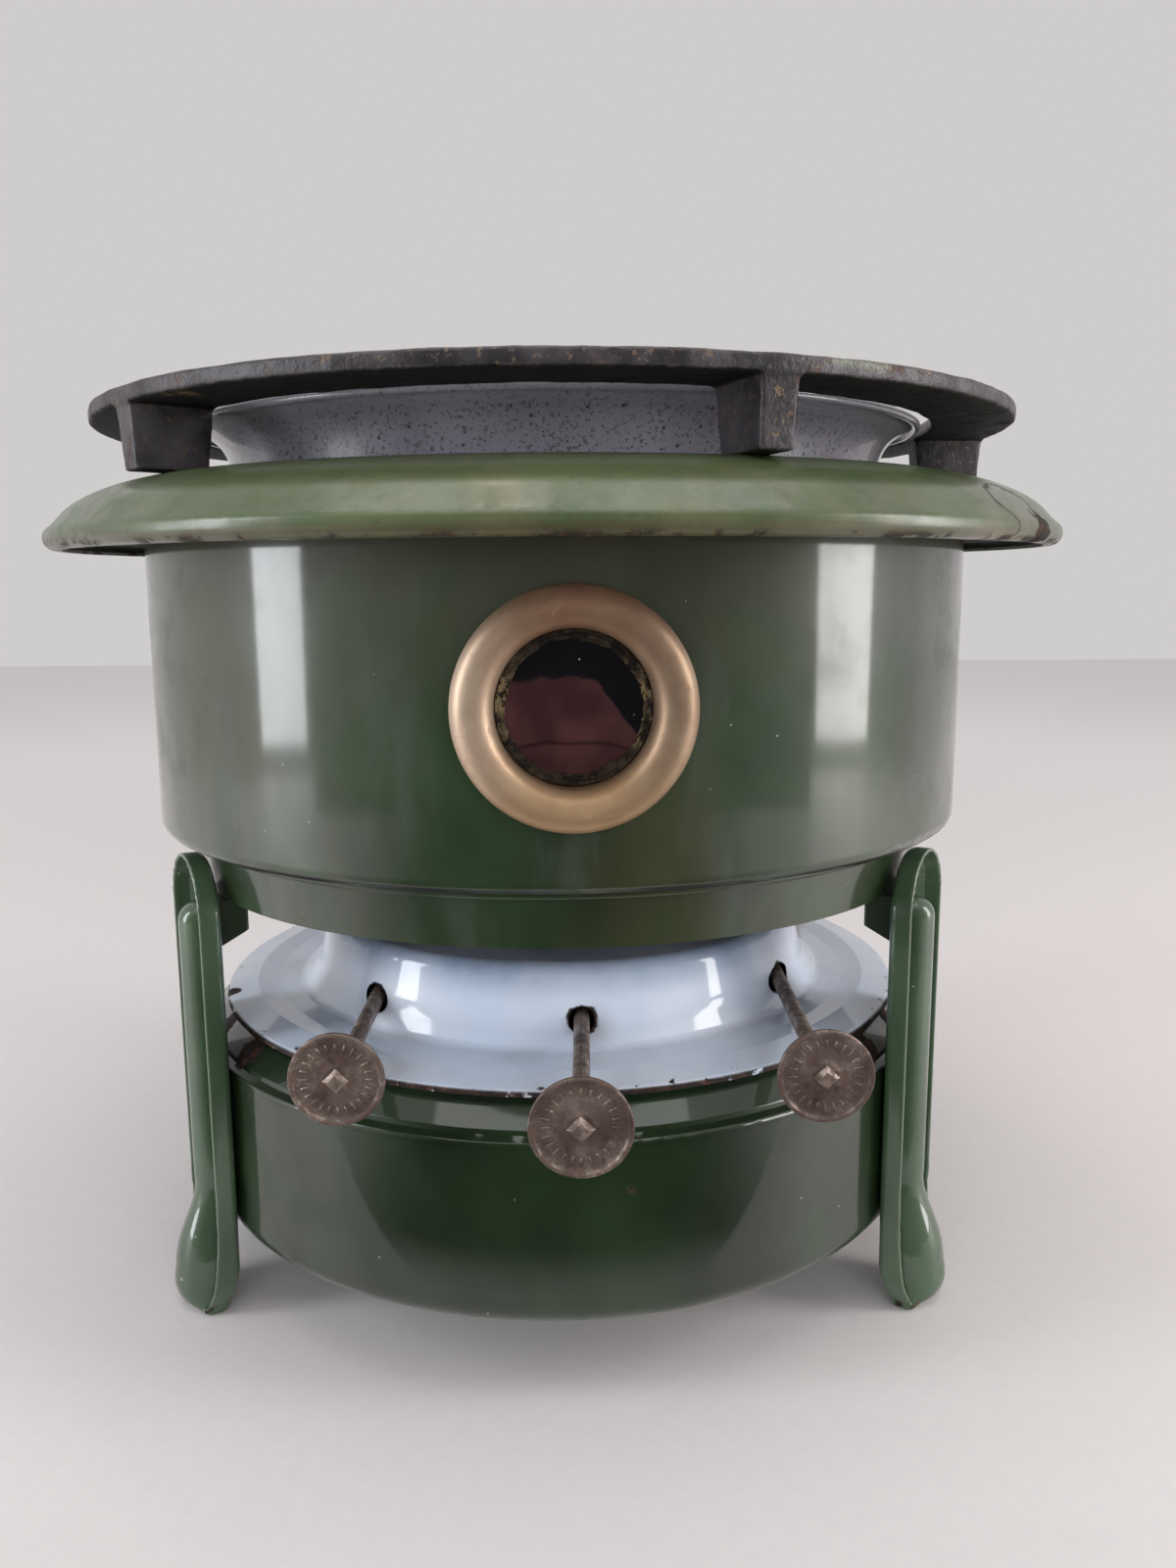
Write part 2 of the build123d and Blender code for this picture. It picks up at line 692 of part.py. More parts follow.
# Window: spun bezel, mica pane and the ring that holds it
window_front = outward(window_azimuth)
window_centre = window_front * drum_radius + Vector(0, 0, window_z)
window_axis = Axis(origin=window_centre, direction=window_front)
window_section = Plane(
    origin=window_centre, x_dir=Vector(0, 0, 1), z_dir=Vector(0, 0, 1).cross(window_front)
)
with BuildPart() as window_bezel:
    with BuildSketch(window_section):
        with BuildLine():
            tail_radius = window_bore + bezel_sheet / 2
            rim_radius = bezel_radius - bezel_sheet / 2
            crest = bezel_height - bezel_sheet / 2
            spring = crest - (rim_radius - tail_radius) / 2
            Line((tail_radius, -bezel_tail), (tail_radius, spring))
            ThreePointArc(
                (tail_radius, spring), ((tail_radius + rim_radius) / 2, crest), (rim_radius, spring)
            )
            Line((rim_radius, spring), (rim_radius, bezel_rim_height))
        trace(line_width=bezel_sheet)
    revolve(axis=window_axis)
window_bezel.part.label = "window_bezel"
export_step(window_bezel.part, "parts/window_bezel.step")

pane_back = drum_radius - bezel_tail + retainer_thickness + seam_gap
with BuildPart() as mica_pane:
    with BuildSketch(facing_plane(window_azimuth, pane_back, window_z)):
        Circle(window_bore - seam_gap)
    extrude(amount=pane_thickness)
mica_pane.part.label = "mica_pane"
export_step(mica_pane.part, "parts/mica_pane.step")

with BuildPart() as mica_retainer:
    with BuildSketch(facing_plane(window_azimuth, drum_radius - bezel_tail, window_z)):
        Circle(window_bore - seam_gap)
        Circle(window_bore - retainer_lip, mode=Mode.SUBTRACT)
    extrude(amount=retainer_thickness)
mica_retainer.part.label = "mica_retainer"
export_step(mica_retainer.part, "parts/mica_retainer.step")

# Flame deck: disc on the drum's floor, with a raised slot over each wick and air holes
deck_base_z = drum_floor_z + mantle_sheet + seam_gap
with BuildPart() as flame_deck:
    with BuildSketch(Plane.XY.offset(deck_base_z)):
        Circle(deck_radius)
    extrude(amount=deck_sheet)
    with BuildSketch(Plane.XY.offset(deck_base_z)):
        with Locations(*[(x, 0) for x in wick_offsets.values()]):
            SlotOverall(2 * slot_half_length, 2 * slot_half_width, rotation=90)
    extrude(amount=slot_height)
    with BuildSketch(Plane.XY.offset(deck_base_z)):
        with Locations(*[(x, 0) for x in wick_offsets.values()]):
            SlotOverall(
                2 * (slot_half_length - deck_sheet), 2 * (slot_half_width - deck_sheet), rotation=90
            )
    extrude(amount=slot_height, mode=Mode.SUBTRACT)
    with BuildSketch(Plane.XY.offset(deck_base_z)):
        for inset, hole_count in zip(air_hole_insets, air_hole_counts):
            with PolarLocations(deck_radius - inset, hole_count):
                Circle(air_hole_radius)
    extrude(amount=deck_sheet, mode=Mode.SUBTRACT)
flame_deck.part.label = "flame_deck"
export_step(flame_deck.part, "parts/flame_deck.step")

# Funnel: straight neck, trumpet mouth with a curled lip, and a bead that rests on the collar
with BuildPart() as flame_funnel:
    with BuildSketch(Plane.XZ):
        with BuildLine():
            neck_line = Line(
                (funnel_neck_radius - funnel_sheet / 2, collar_flat_z - funnel_depth),
                (funnel_neck_radius - funnel_sheet / 2, collar_flat_z - funnel_hip_drop),
            )
            Spline(
                neck_line @ 1,
                *[(funnel_neck_radius + flare, collar_flat_z + rise) for flare, rise in funnel_points],
                (funnel_rim_radius, funnel_rim_z),
                tangents=(Vector(0, 1), Vector(1, 0)),
            )
        trace(line_width=funnel_sheet)
        with Locations((funnel_rim_radius, funnel_rim_z)):
            Circle(funnel_curl)
        with Locations((collar_hole_radius + funnel_bead / 2, collar_flat_z + lift_gap + funnel_bead)):
            Circle(funnel_bead)
        with Locations((funnel_bore_radius, collar_flat_z)):
            Rectangle(
                2 * funnel_bead, 6 * funnel_bead, align=(Align.MAX, Align.CENTER), mode=Mode.SUBTRACT
            )
    revolve(axis=Axis.Z)
flame_funnel.part.label = "flame_funnel"
export_step(flame_funnel.part, "parts/flame_funnel.step")

# Pot ring: flat cast ring on five tapered feet
ring_base_z = ring_top_z - ring_thickness
foot_base_z = collar_flat_z + rest_gap
with BuildPart() as pot_ring:
    with BuildSketch(Plane.XY.offset(ring_base_z)):
        Circle(ring_radius)
        Circle(ring_hole_radius, mode=Mode.SUBTRACT)
    extrude(amount=ring_thickness)
    fillet(pot_ring.faces().sort_by(Axis.Z)[-1].edges(), radius=ring_edge)
    for foot in range(ring_feet):
        foot_azimuth = pot_foot_azimuth + foot * 360 / ring_feet
        inner = ring_hole_radius + ring_edge
        outer = ring_radius - ring_edge
        with BuildSketch(level_plane(foot_azimuth, 0, ring_base_z)):
            with Locations(((inner + outer) / 2, 0)):
                Rectangle(outer - inner, foot_width)
        with BuildSketch(level_plane(foot_azimuth, 0, foot_base_z)):
            with Locations(((inner + foot_inner_taper + outer - foot_outer_taper) / 2, 0)):
                Rectangle(outer - foot_outer_taper - inner - foot_inner_taper, foot_base_width)
        loft()
pot_ring.part.label = "pot_ring"
export_step(pot_ring.part, "parts/pot_ring.step")
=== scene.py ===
# %% [markdown]
# # An enamelled kerosene cooker, dressed in Blender
# The cooker is a round fuel tank on three pressed legs, a white drip plate with a
# dome, and above it a drum with a mica window, a domed collar, a speckled funnel
# and a cast ring for the pot. Its construction comes ready made as a fixed frame,
# so this lesson is about finishes: glossy enamel, chips, rust, soot and tarnish,
# and about the few pieces whose soft forms are easier to make as meshes.

# %% The fixed frame
import math
import random

import bpy
from mathutils import Matrix, Vector


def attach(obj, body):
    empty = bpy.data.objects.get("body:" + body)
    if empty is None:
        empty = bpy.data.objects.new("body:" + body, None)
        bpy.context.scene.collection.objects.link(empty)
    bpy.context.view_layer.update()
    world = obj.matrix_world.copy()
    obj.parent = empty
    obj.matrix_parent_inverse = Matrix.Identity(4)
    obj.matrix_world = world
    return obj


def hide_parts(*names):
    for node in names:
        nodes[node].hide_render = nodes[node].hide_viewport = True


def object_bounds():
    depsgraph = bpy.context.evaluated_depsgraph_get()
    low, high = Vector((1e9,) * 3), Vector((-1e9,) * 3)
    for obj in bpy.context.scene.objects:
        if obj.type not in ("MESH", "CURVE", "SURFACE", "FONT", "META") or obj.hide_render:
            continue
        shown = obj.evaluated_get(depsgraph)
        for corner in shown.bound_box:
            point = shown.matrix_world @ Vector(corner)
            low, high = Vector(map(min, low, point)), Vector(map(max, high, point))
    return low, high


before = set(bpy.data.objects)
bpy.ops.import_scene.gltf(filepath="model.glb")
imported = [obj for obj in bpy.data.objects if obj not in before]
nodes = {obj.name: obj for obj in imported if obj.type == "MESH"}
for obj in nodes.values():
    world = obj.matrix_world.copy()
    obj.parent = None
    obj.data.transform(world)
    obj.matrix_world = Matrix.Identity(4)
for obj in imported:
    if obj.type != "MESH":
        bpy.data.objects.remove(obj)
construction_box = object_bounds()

MM = 0.001

# %% [markdown]
# ## The camera
# The picture was taken from close by, a little above the collar, with a short lens.
# That closeness is what makes the drum taper and shows the collar from its edge. A
# camera matrix is built from three directions: to the right, up, and backwards.

# %% Camera
lens = 27.80
camera_place = Vector((7.85, -366.6, 196.67)) * MM
pitch, yaw, roll = (math.radians(angle) for angle in (9.645, 0.126, -0.36))

forward = Vector((
    math.sin(yaw) * math.cos(pitch), math.cos(yaw) * math.cos(pitch), -math.sin(pitch)
))
level_right = Vector((math.cos(yaw), -math.sin(yaw), 0))
level_up = level_right.cross(forward)
right = math.cos(roll) * level_right + math.sin(roll) * level_up
up = math.cos(roll) * level_up - math.sin(roll) * level_right
turn = Matrix((right, up, -forward)).transposed().to_4x4()

camera = bpy.data.objects.new("camera", bpy.data.cameras.new("camera"))
bpy.context.scene.collection.objects.link(camera)
camera.matrix_world = Matrix.Translation(camera_place) @ turn
camera.data.lens = lens
camera.data.clip_start = 5 * MM
bpy.context.scene.camera = camera
bpy.context.scene.view_settings.view_transform = "Standard"
print("camera", round(camera_place.length, 3), "m from the foot of the cooker")

# %% [markdown]
# ## Shader sums
# A finish is mostly arithmetic: this much rust here, less gloss there. Adding Math
# nodes one by one hides the sum, so a socket is wrapped in a small class whose
# operators add the nodes. Then `1 - rust` reads as what it is. A second class holds
# a node tree and has a single way to add any other node: its type, its settings,
# and what goes into its sockets. A finish is such a tree with a Principled shader.

# %% A signal, a graph and a finish
class Signal:
    """A shader socket that can be used in a sum. Each operation adds a Math node."""

    def __init__(self, graph, socket):
        self.graph, self.socket = graph, socket

    def math(self, operation, *terms):
        return self.graph.add(
            "ShaderNodeMath", {"operation": operation}, dict(enumerate(terms))
        )

    def other(self, name):
        """Another output of the same node."""
        return Signal(self.graph, self.socket.node.outputs[name])

    def __add__(self, other):
        return self.math("ADD", self, other)

    def __sub__(self, other):
        return self.math("SUBTRACT", self, other)

    def __rsub__(self, other):
        return self.math("SUBTRACT", other, self)

    def __mul__(self, other):
        return self.math("MULTIPLY", self, other)

    def __truediv__(self, other):
        return self.math("DIVIDE", self, other)

    def __rtruediv__(self, other):
        return self.math("DIVIDE", other, self)

    def larger(self, other):
        return self.math("MAXIMUM", self, other)

    def size(self):
        """The number without its sign."""
        return self.math("ABSOLUTE", self)

    __radd__ = __add__
    __rmul__ = __mul__


class Graph:
    """A node tree."""

    def __init__(self, tree):
        self.tree = tree

    def add(self, kind, settings=None, sockets=None, out=0):
        """Adds a node: its settings first, then the values or signals of its sockets."""
        node = self.tree.nodes.new(kind)
        for setting, value in (settings or {}).items():
            setattr(node, setting, value)
        for socket, value in (sockets or {}).items():
            self.feed(node.inputs[socket], value)
        return Signal(self, node.outputs[out])

    def feed(self, socket, value):
        if isinstance(value, Signal):
            self.tree.links.new(value.socket, socket)
        elif socket.type == "RGBA":
            socket.default_value = (*value, 1)
        else:
            socket.default_value = value


class Finish(Graph):
    """One material: a Principled shader and the nodes that feed it."""

    def __init__(self, name):
        self.material = bpy.data.materials.new(name)
        self.material.use_nodes = True
        super().__init__(self.material.node_tree)
        self.shader = self.tree.nodes["Principled BSDF"]
        self.where = self.add("ShaderNodeTexCoord", out="Object")

    def set(self, **looks):
        """Feeds the shader: base_color=..., roughness=... and so on."""
        titles = {
            socket.name.lower().replace(" ", "_"): socket for socket in self.shader.inputs
        }
        for name, value in looks.items():
            self.feed(titles[name], value)
        return self.material


def tone(red, green, blue):
    """A screen colour, from 0 to 255, as the linear colour that a shader wants."""
    return tuple(
        part / 12.92 if part <= 0.04045 else ((part + 0.055) / 1.055) ** 2.4
        for part in (red / 255, green / 255, blue / 255)
    )


print("enamel white is", [round(part, 2) for part in tone(214, 220, 230)])

# %% [markdown]
# ## The marks that every finish is made of
# Old enamel, iron and brass share a few marks: soft clouds of tone, small specks,
# ragged patches round a known spot, and bands at a known height or distance from
# the axis. Each is a number from 0 to 1 all over the surface. They are all measured
# in metres in the cooker's own frame, so a rust patch sits where the leg rubs
# whatever the camera does.

# %% Marks
def clouds(finish, size, detail=3.0, rough=0.5, where=None):
    """Noise from 0 to 1 whose blobs are about this many metres across."""
    return finish.add(
        "ShaderNodeTexNoise",
        {"noise_dimensions": "3D"},
        {
            "Vector": where or finish.where,
            "Scale": 1 / size,
            "Detail": detail,
            "Roughness": rough,
        },
    )


def ramp(finish, signal, start, end):
    """0 where the signal is at start, 1 where it is at end, with a soft step between."""
    return finish.add(
        "ShaderNodeMapRange",
        {"interpolation_type": "SMOOTHSTEP"},
        {"Value": signal, "From Min": start, "From Max": end},
        out="Result",
    )


def blend(finish, share, first, second):
    """The first colour where share is 0, the second where it is 1."""
    return finish.add(
        "ShaderNodeMix",
        {"data_type": "RGBA", "blend_type": "MIX"},
        {0: share, 6: first, 7: second},
        out=2,
    )


def specks(finish, spacing, radius, share):
    """Round dots, at most one in each cell of the given spacing, in that share of cells."""
    near = finish.add(
        "ShaderNodeTexVoronoi",
        {"feature": "F1"},
        {"Vector": finish.where, "Scale": 1 / spacing},
        out="Distance",
    )
    lot = finish.add("ShaderNodeSeparateColor", None, {0: near.other("Color")})
    chosen = lot.math("LESS_THAN", lot, share)
    size = radius / spacing
    return ramp(finish, near, size, size * 0.6) * chosen


def along(finish, axis, vector=None):
    """How far a point lies along the X, Y or Z axis."""
    return finish.add("ShaderNodeSeparateXYZ", None, {0: vector or finish.where}, out=axis)


def height(finish):
    return along(finish, "Z")


def stretched(finish, upright):
    """Places for clouds that are drawn out upwards, more so the smaller upright is."""
    return finish.add(
        "ShaderNodeVectorMath",
        {"operation": "MULTIPLY"},
        {0: finish.where, 1: (1, 1, upright)},
        out="Vector",
    )


def reach(finish):
    """Distance from the cooker's upright axis."""
    flat = stretched(finish, 0)
    return finish.add("ShaderNodeVectorMath", {"operation": "LENGTH"}, {0: flat}, out="Value")


def patch(finish, centre, radius, rag=0.5, grain=0.004, soft=0.14):
    """1 inside a ragged ball round a point in millimetres, 0 outside."""
    away = finish.add(
        "ShaderNodeVectorMath",
        {"operation": "DISTANCE"},
        {0: finish.where, 1: Vector(centre) * MM},
        out="Value",
    )
    wobble = (clouds(finish, grain, 5.0, 0.6) - 0.5) * (2 * rag * radius * MM)
    return ramp(finish, away + wobble, radius * MM, radius * MM * (1 - soft))


def relief(finish, metres):
    """A normal that follows a height in metres."""
    return finish.add(
        "ShaderNodeBump", None, {"Strength": 1.0, "Distance": 1.0, "Height": metres}
    )


print("marks: clouds, specks, patches, bands of height and reach")

# %% [markdown]
# ## Green enamel
# Vitreous enamel is glass melted on steel: a deep colour under a hard gloss, never
# quite flat, with a fine orange peel that frays the edge of a highlight, small
# pinholes and specks of dust burnt in. The colour sits in the base, the glass is the
# coat. Iron that shows in a chip is dark and rusty and has no coat. Soot covers
# what faces the flames.

# %% Green enamel and its damage
deep_green, fresh_green = tone(31, 47, 27), tone(43, 62, 37)
# Painted shade: the tank takes a darker copy of the drum's green, standing in for the dark
# reflection on its front.
tank_shaded_deep, tank_shaded_fresh = tone(21, 34, 17), tone(31, 49, 25)
# Painted light: the legs take a lighter copy of the same green, because they face the lamps.
leg_lit_deep, leg_lit_fresh = tone(55, 74, 53), tone(69, 91, 66)
bare_iron = tone(34, 28, 26)
dry_rust = tone(84, 53, 38)
soot_black = tone(18, 16, 15)
dust_grey = tone(172, 178, 164)


def orange_peel(finish, strength=1.0):
    """The uneven surface of melted glass, as a height in metres."""
    waves = clouds(finish, 0.045, 1.0) * 0.00055
    lumps = clouds(finish, 0.006, 2.0) * 0.00006
    grain = clouds(finish, 0.0016, 2.0) * 0.000011
    return (waves + lumps + grain) * strength


def iron_showing(finish, chips, colour):
    """The colour with iron and rust in the chips."""
    rust = ramp(finish, clouds(finish, 0.0022, 5.0, 0.7), 0.46, 0.70)
    iron = blend(finish, rust, bare_iron, dry_rust)
    return blend(finish, chips, colour, iron)


def two_tones(finish, size, start, end, first, second, detail=5.0, rough=0.5):
    """Two tones that wander into each other in clouds."""
    share = ramp(finish, clouds(finish, size, detail, rough), start, end)
    return blend(finish, share, first, second)


def enamel(
    name, deep, fresh, chips=None, soot=None, extra=None,
    peel=1.0, haze=1.0, dust=0.5, dull=None, coat_roughness=0.10,
):
    """Glossy enamel of two near tones. chips, soot, extra and dull are functions that say
    where iron shows, where it is sooty, what else colours it and where it has no gloss.
    peel, haze and dust are the strengths of its waves, smears and specks."""
    finish = Finish(name)
    colour = two_tones(finish, 0.032, 0.32, 0.70, deep, fresh, 4.0)
    colour = blend(finish, specks(finish, 0.0055, 0.00030, 0.34) * dust, colour, dust_grey)
    colour = blend(finish, specks(finish, 0.015, 0.00045, 0.35) * dust, colour, bare_iron)
    if extra:
        colour = extra(finish, colour)
    bare = chips(finish) if chips else specks(finish, 0.045, 0.0008, 0.4)
    colour = iron_showing(finish, bare, colour)
    gloss = 1 - bare
    if soot:
        black = soot(finish)
        colour = blend(finish, black, colour, soot_black)
        gloss = gloss * (1 - black * 0.9)
    smear = ramp(finish, clouds(finish, 0.018, 5.0, 0.65), 0.45, 0.75)
    matt = dull(finish) if dull else 0.0
    finish.set(
        base_color=colour,
        roughness=0.34 + smear * 0.16 + bare * 0.35 + matt * 0.2,
        coat_weight=gloss * (0.97 - smear * 0.25 * haze) * (1 - matt),
        coat_roughness=coat_roughness,
        coat_ior=1.55,
        specular_ior_level=0.30,
        normal=relief(finish, orange_peel(finish, peel) - bare * 0.00012),
    )
    return finish.material


print("green enamel from", [round(part, 3) for part in deep_green])

# %% [markdown]
# ## Where the green enamel is hurt
# Enamel chips where iron rubs on iron or is knocked: on the tank beside the legs, at
# the sharp foot of the drum, along the free edges of the legs. Each place is written
# as a patch round a spot or a band round an edge. The drum's inner side faces the
# flames and is sooty.

# %% Chips of the green pieces
leg_azimuths = {"left": -60, "right": 60, "rear": 180}
drum_foot, drum_inner = 129.8 * MM, 114.9 * MM


def spot(azimuth, distance, level):
    """A point at an azimuth from the front towards the right, in millimetres."""
    angle = math.radians(azimuth)
    return (math.sin(angle) * distance, -math.cos(angle) * distance, level)


def tank_chips(finish):
    beside_legs = specks(finish, 0.040, 0.0007, 0.4)
    for azimuth in leg_azimuths.values():
        for side in (-6.5, 6.5):
            beside_legs = beside_legs.larger(
                patch(finish, spot(azimuth + side, 102, 73), 5.0, 0.9, 0.005)
            )
    scratch = patch(finish, (18.1, -105.7, 57.1), 1.3, 1.3, 0.002)
    return beside_legs.larger(scratch * 0.6)


def drum_chips(finish):
    foot = ramp(finish, height(finish), drum_foot + 1.0 * MM, drum_foot)
    worn = ramp(finish, clouds(finish, 0.006, 5.0, 0.7), 0.60, 0.66)
    return specks(finish, 0.050, 0.0007, 0.4).larger(foot * worn)


def leg_chips(finish):
    toes = specks(finish, 0.030, 0.0008, 0.5)
    floor = ramp(finish, height(finish), 0.004, 0.0012)
    return toes.larger(floor * ramp(finish, clouds(finish, 0.003, 5.0), 0.50, 0.58))


print("chips for tank, drum and legs")

# %% Soot, clouds, painted reflection and pale edges
def drum_soot(finish):
    inside = ramp(finish, reach(finish), drum_inner + 0.3 * MM, drum_inner)
    return inside * ramp(finish, clouds(finish, 0.03, 4.0), 0.25, 0.6)


def haze_and_painted_reflection(finish, colour):
    """Brown and blue-grey clouds drawn out upright, and a brown-grey band towards the top of the
    drum that is a painted reflection.
    """
    tall = stretched(finish, 0.3)
    film = ramp(finish, clouds(finish, 0.040, 5.0, 0.6, tall), 0.44, 0.70)
    colour = blend(finish, film * 0.55, colour, tone(66, 60, 40))
    fog = ramp(finish, clouds(finish, 0.024, 5.0, 0.6, tall), 0.50, 0.74)
    colour = blend(finish, fog * 0.50, colour, tone(74, 82, 76))
    # Painted reflection: a brown-grey band towards the top of the drum.
    sway = (clouds(finish, 0.045, 4.0) - 0.5) * 0.09
    warm = ramp(finish, height(finish) + sway, 0.165, 0.225)
    return blend(finish, warm * 0.60, colour, tone(72, 67, 58))


def sharp_edges(finish, least, most):
    """Edges of a dense mesh, from how sharply it bends."""
    bend = finish.add("ShaderNodeNewGeometry", out="Pointiness")
    return ramp(finish, bend, least, most)


def edge_wear(finish, least=0.545, most=0.60):
    """Edges that are rubbed here and there."""
    rub = ramp(finish, clouds(finish, 0.004, 4.0, 0.6), 0.40, 0.60)
    return sharp_edges(finish, least, most) * rub


def leg_thin_enamel_and_painted_highlight(finish, colour):
    """Paler on sharp edges, partly where enamel runs thin and partly as a painted highlight."""
    return blend(finish, sharp_edges(finish, 0.515, 0.60) * 0.60, colour, tone(168, 176, 160))


print("soot, grease and edges")

# %% The five green finishes
tank_enamel = enamel(
    "tank_enamel", tank_shaded_deep, tank_shaded_fresh, tank_chips,
    peel=1.2, dust=0.7, coat_roughness=0.06,
)
drum_enamel = enamel(
    "drum_enamel", deep_green, fresh_green, drum_chips, drum_soot, haze_and_painted_reflection,
    dust=0.7, coat_roughness=0.085,
)
skirt_enamel = enamel("skirt_enamel", deep_green, fresh_green, extra=haze_and_painted_reflection, peel=0.8)
leg_enamel = enamel(
    "leg_enamel", leg_lit_deep, leg_lit_fresh, leg_chips, extra=leg_thin_enamel_and_painted_highlight,
    dust=0.8, coat_roughness=0.05,
)
bracket_enamel = enamel("bracket_enamel", tone(28, 40, 28), deep_green, peel=1.4)
print("five green finishes")

# %% [markdown]
# ## The collar's olive enamel
# The collar took the most heat, and its green has gone towards olive. Its flat top
# under the ring is painted darker, as shade. The rolled edge is worn brown all round,
# and at the right a flake of enamel is gone, with a dark crack round what is left.

# %% Olive enamel
collar_flake, flake_size, crack_width = (106.0, -85.0, 210.0), 10.4, 1.1
collar_edge, collar_top = 204.8 * MM, 221.0 * MM


def flake_patch(finish, size):
    return patch(finish, collar_flake, size, 0.55, 0.007)


def collar_chips(finish):
    edge = ramp(finish, height(finish), collar_edge + 1.4 * MM, collar_edge)
    worn = ramp(finish, clouds(finish, 0.009, 5.0, 0.7), 0.50, 0.58)
    crack = flake_patch(finish, flake_size + crack_width) - flake_patch(finish, flake_size)
    pits = patch(finish, spot(55, 138, 206.0), 6.0, 0.9, 0.005)
    return (edge * worn * 0.8).larger(crack.larger(0.0)).larger(pits)


def collar_marks_and_painted_shade(finish, colour):
    """Darker green on the flat top as painted shade under the ring, brown at the rim, grey where
    enamel flaked off.
    """
    # Painted shade: the flat top under the ring is darkened.
    sway = (clouds(finish, 0.02, 4.0) - 0.5) * 0.008
    top = ramp(finish, reach(finish) + sway, 0.1225, 0.1165)
    colour = blend(finish, top * 0.85, colour, tone(40, 58, 30))
    wobble = (clouds(finish, 0.008, 4.0) - 0.5) * 0.002
    rim = ramp(finish, height(finish) + wobble, collar_edge + 3.7 * MM, collar_edge + 0.7 * MM)
    colour = blend(finish, rim * 0.65, colour, tone(76, 66, 46))
    grit = ramp(finish, clouds(finish, 0.0016, 4.0, 0.7), 0.52, 0.66)
    colour = blend(finish, grit * 0.30, colour, tone(44, 48, 32))
    colour = blend(finish, flake_patch(finish, flake_size) * 0.55, colour, tone(88, 84, 66))
    streak = ramp(finish, clouds(finish, 0.022, 6.0, 0.65), 0.48, 0.70)
    return blend(finish, streak * 0.50, colour, tone(98, 92, 66))


def collar_soot(finish):
    """Soot on the underside, inside the drum."""
    inner = ramp(finish, reach(finish), 0.1170, 0.1155)
    under = ramp(finish, height(finish), collar_top, collar_top - 1.5 * MM)
    return inner * under * 0.8


def collar_dull(finish):
    """Heat has taken the gloss off, most of all on the flat top."""
    top = ramp(finish, reach(finish), 0.1300, 0.1180)
    worn = ramp(finish, clouds(finish, 0.007, 5.0, 0.7), 0.40, 0.68)
    return 0.18 + top * 0.40 + worn * 0.28


olive_enamel = enamel(
    "olive_enamel", tone(62, 78, 46), tone(80, 92, 58), collar_chips, collar_soot, collar_marks_and_painted_shade,
    peel=1.4, haze=1.3, dull=collar_dull, coat_roughness=0.26,
)
print("olive enamel with a flake at", collar_flake)

# %% [markdown]
# ## White and grey enamel
# The drip plate is white with a blue cast. Its edge is chipped black, rust has eaten
# round the three holes where the spindles rub, and dark dots show where drops burnt
# in. The funnel is the speckled grey of cheap pans: a lavender ground full of dark
# flecks, with a plain pale lip where the glass ran thick.

# %% White enamel
spindle_places = {"left": -48.5, "centre": 6.5, "right": 61.5}
spindle_level, dome_radius = 86.0, 73.0
plate_rim = 100.0 * MM


def spindle_hole(across, right=0.0, down=0.0):
    """The hole of a spindle in the dome's wall, in millimetres, or a point near it."""
    return (across + right, -math.sqrt(dome_radius**2 - across**2), spindle_level - down)


def plate_chips(finish):
    rubbed = clouds(finish, 0.0045, 5.0, 0.7)
    edge = ramp(finish, reach(finish), plate_rim, plate_rim + 0.6 * MM)
    near_edge = ramp(finish, reach(finish), plate_rim - 2.5 * MM, plate_rim - 0.8 * MM)
    chipped = edge * ramp(finish, rubbed, 0.34, 0.42)
    nicks = near_edge * ramp(finish, rubbed, 0.60, 0.65)
    hurt = chipped.larger(nicks).larger(specks(finish, 0.030, 0.0005, 0.4))
    for across in spindle_places.values():
        hurt = hurt.larger(patch(finish, spindle_hole(across, 0.3, 0.2), 4.4, 0.50, 0.005))
    return hurt.larger(patch(finish, (-95.5, -30.0, 79.5), 3.0, 1.0, 0.003))


def plate_tones_and_painted_light(finish, colour):
    """Greyer in the trough and brownish near the holes; brown near the rim as a painted reflection;
    bluish grey on the dome's shoulder as painted shade and reflection of the skirt above it.
    """
    from_dome = ramp(finish, reach(finish), 0.0760, 0.0795)
    to_rim = ramp(finish, reach(finish), 0.0885, 0.0830)
    film = ramp(finish, clouds(finish, 0.020, 5.0, 0.6), 0.42, 0.75)
    colour = blend(finish, from_dome * to_rim * film * 0.35, colour, tone(150, 140, 128))
    # Painted reflection: warm brown towards the rim.
    painted_rim_reflection = ramp(finish, reach(finish), 0.0900, 0.1005) * film
    colour = blend(finish, painted_rim_reflection * 0.22, colour, tone(170, 146, 118))
    for across in spindle_places.values():
        near = patch(finish, spindle_hole(across, 2.0, 3.0), 8.5, 0.35, 0.012, soft=0.9)
        colour = blend(finish, near * 0.45, colour, tone(124, 108, 98))
    # Painted shade: bluish grey on the dome's shoulder, under the skirt.
    above = ramp(finish, height(finish), 0.0890, 0.0985)
    shoulder = above * ramp(finish, reach(finish), 0.0790, 0.0730)
    return blend(finish, shoulder * (0.52 + film * 0.3), colour, tone(112, 134, 164))


white_enamel = enamel(
    "white_enamel", tone(209, 222, 243), tone(225, 233, 247), plate_chips, extra=plate_tones_and_painted_light,
    dust=0.0, peel=0.8, coat_roughness=0.06,
)
print("white enamel with holes at", list(spindle_places.values()))

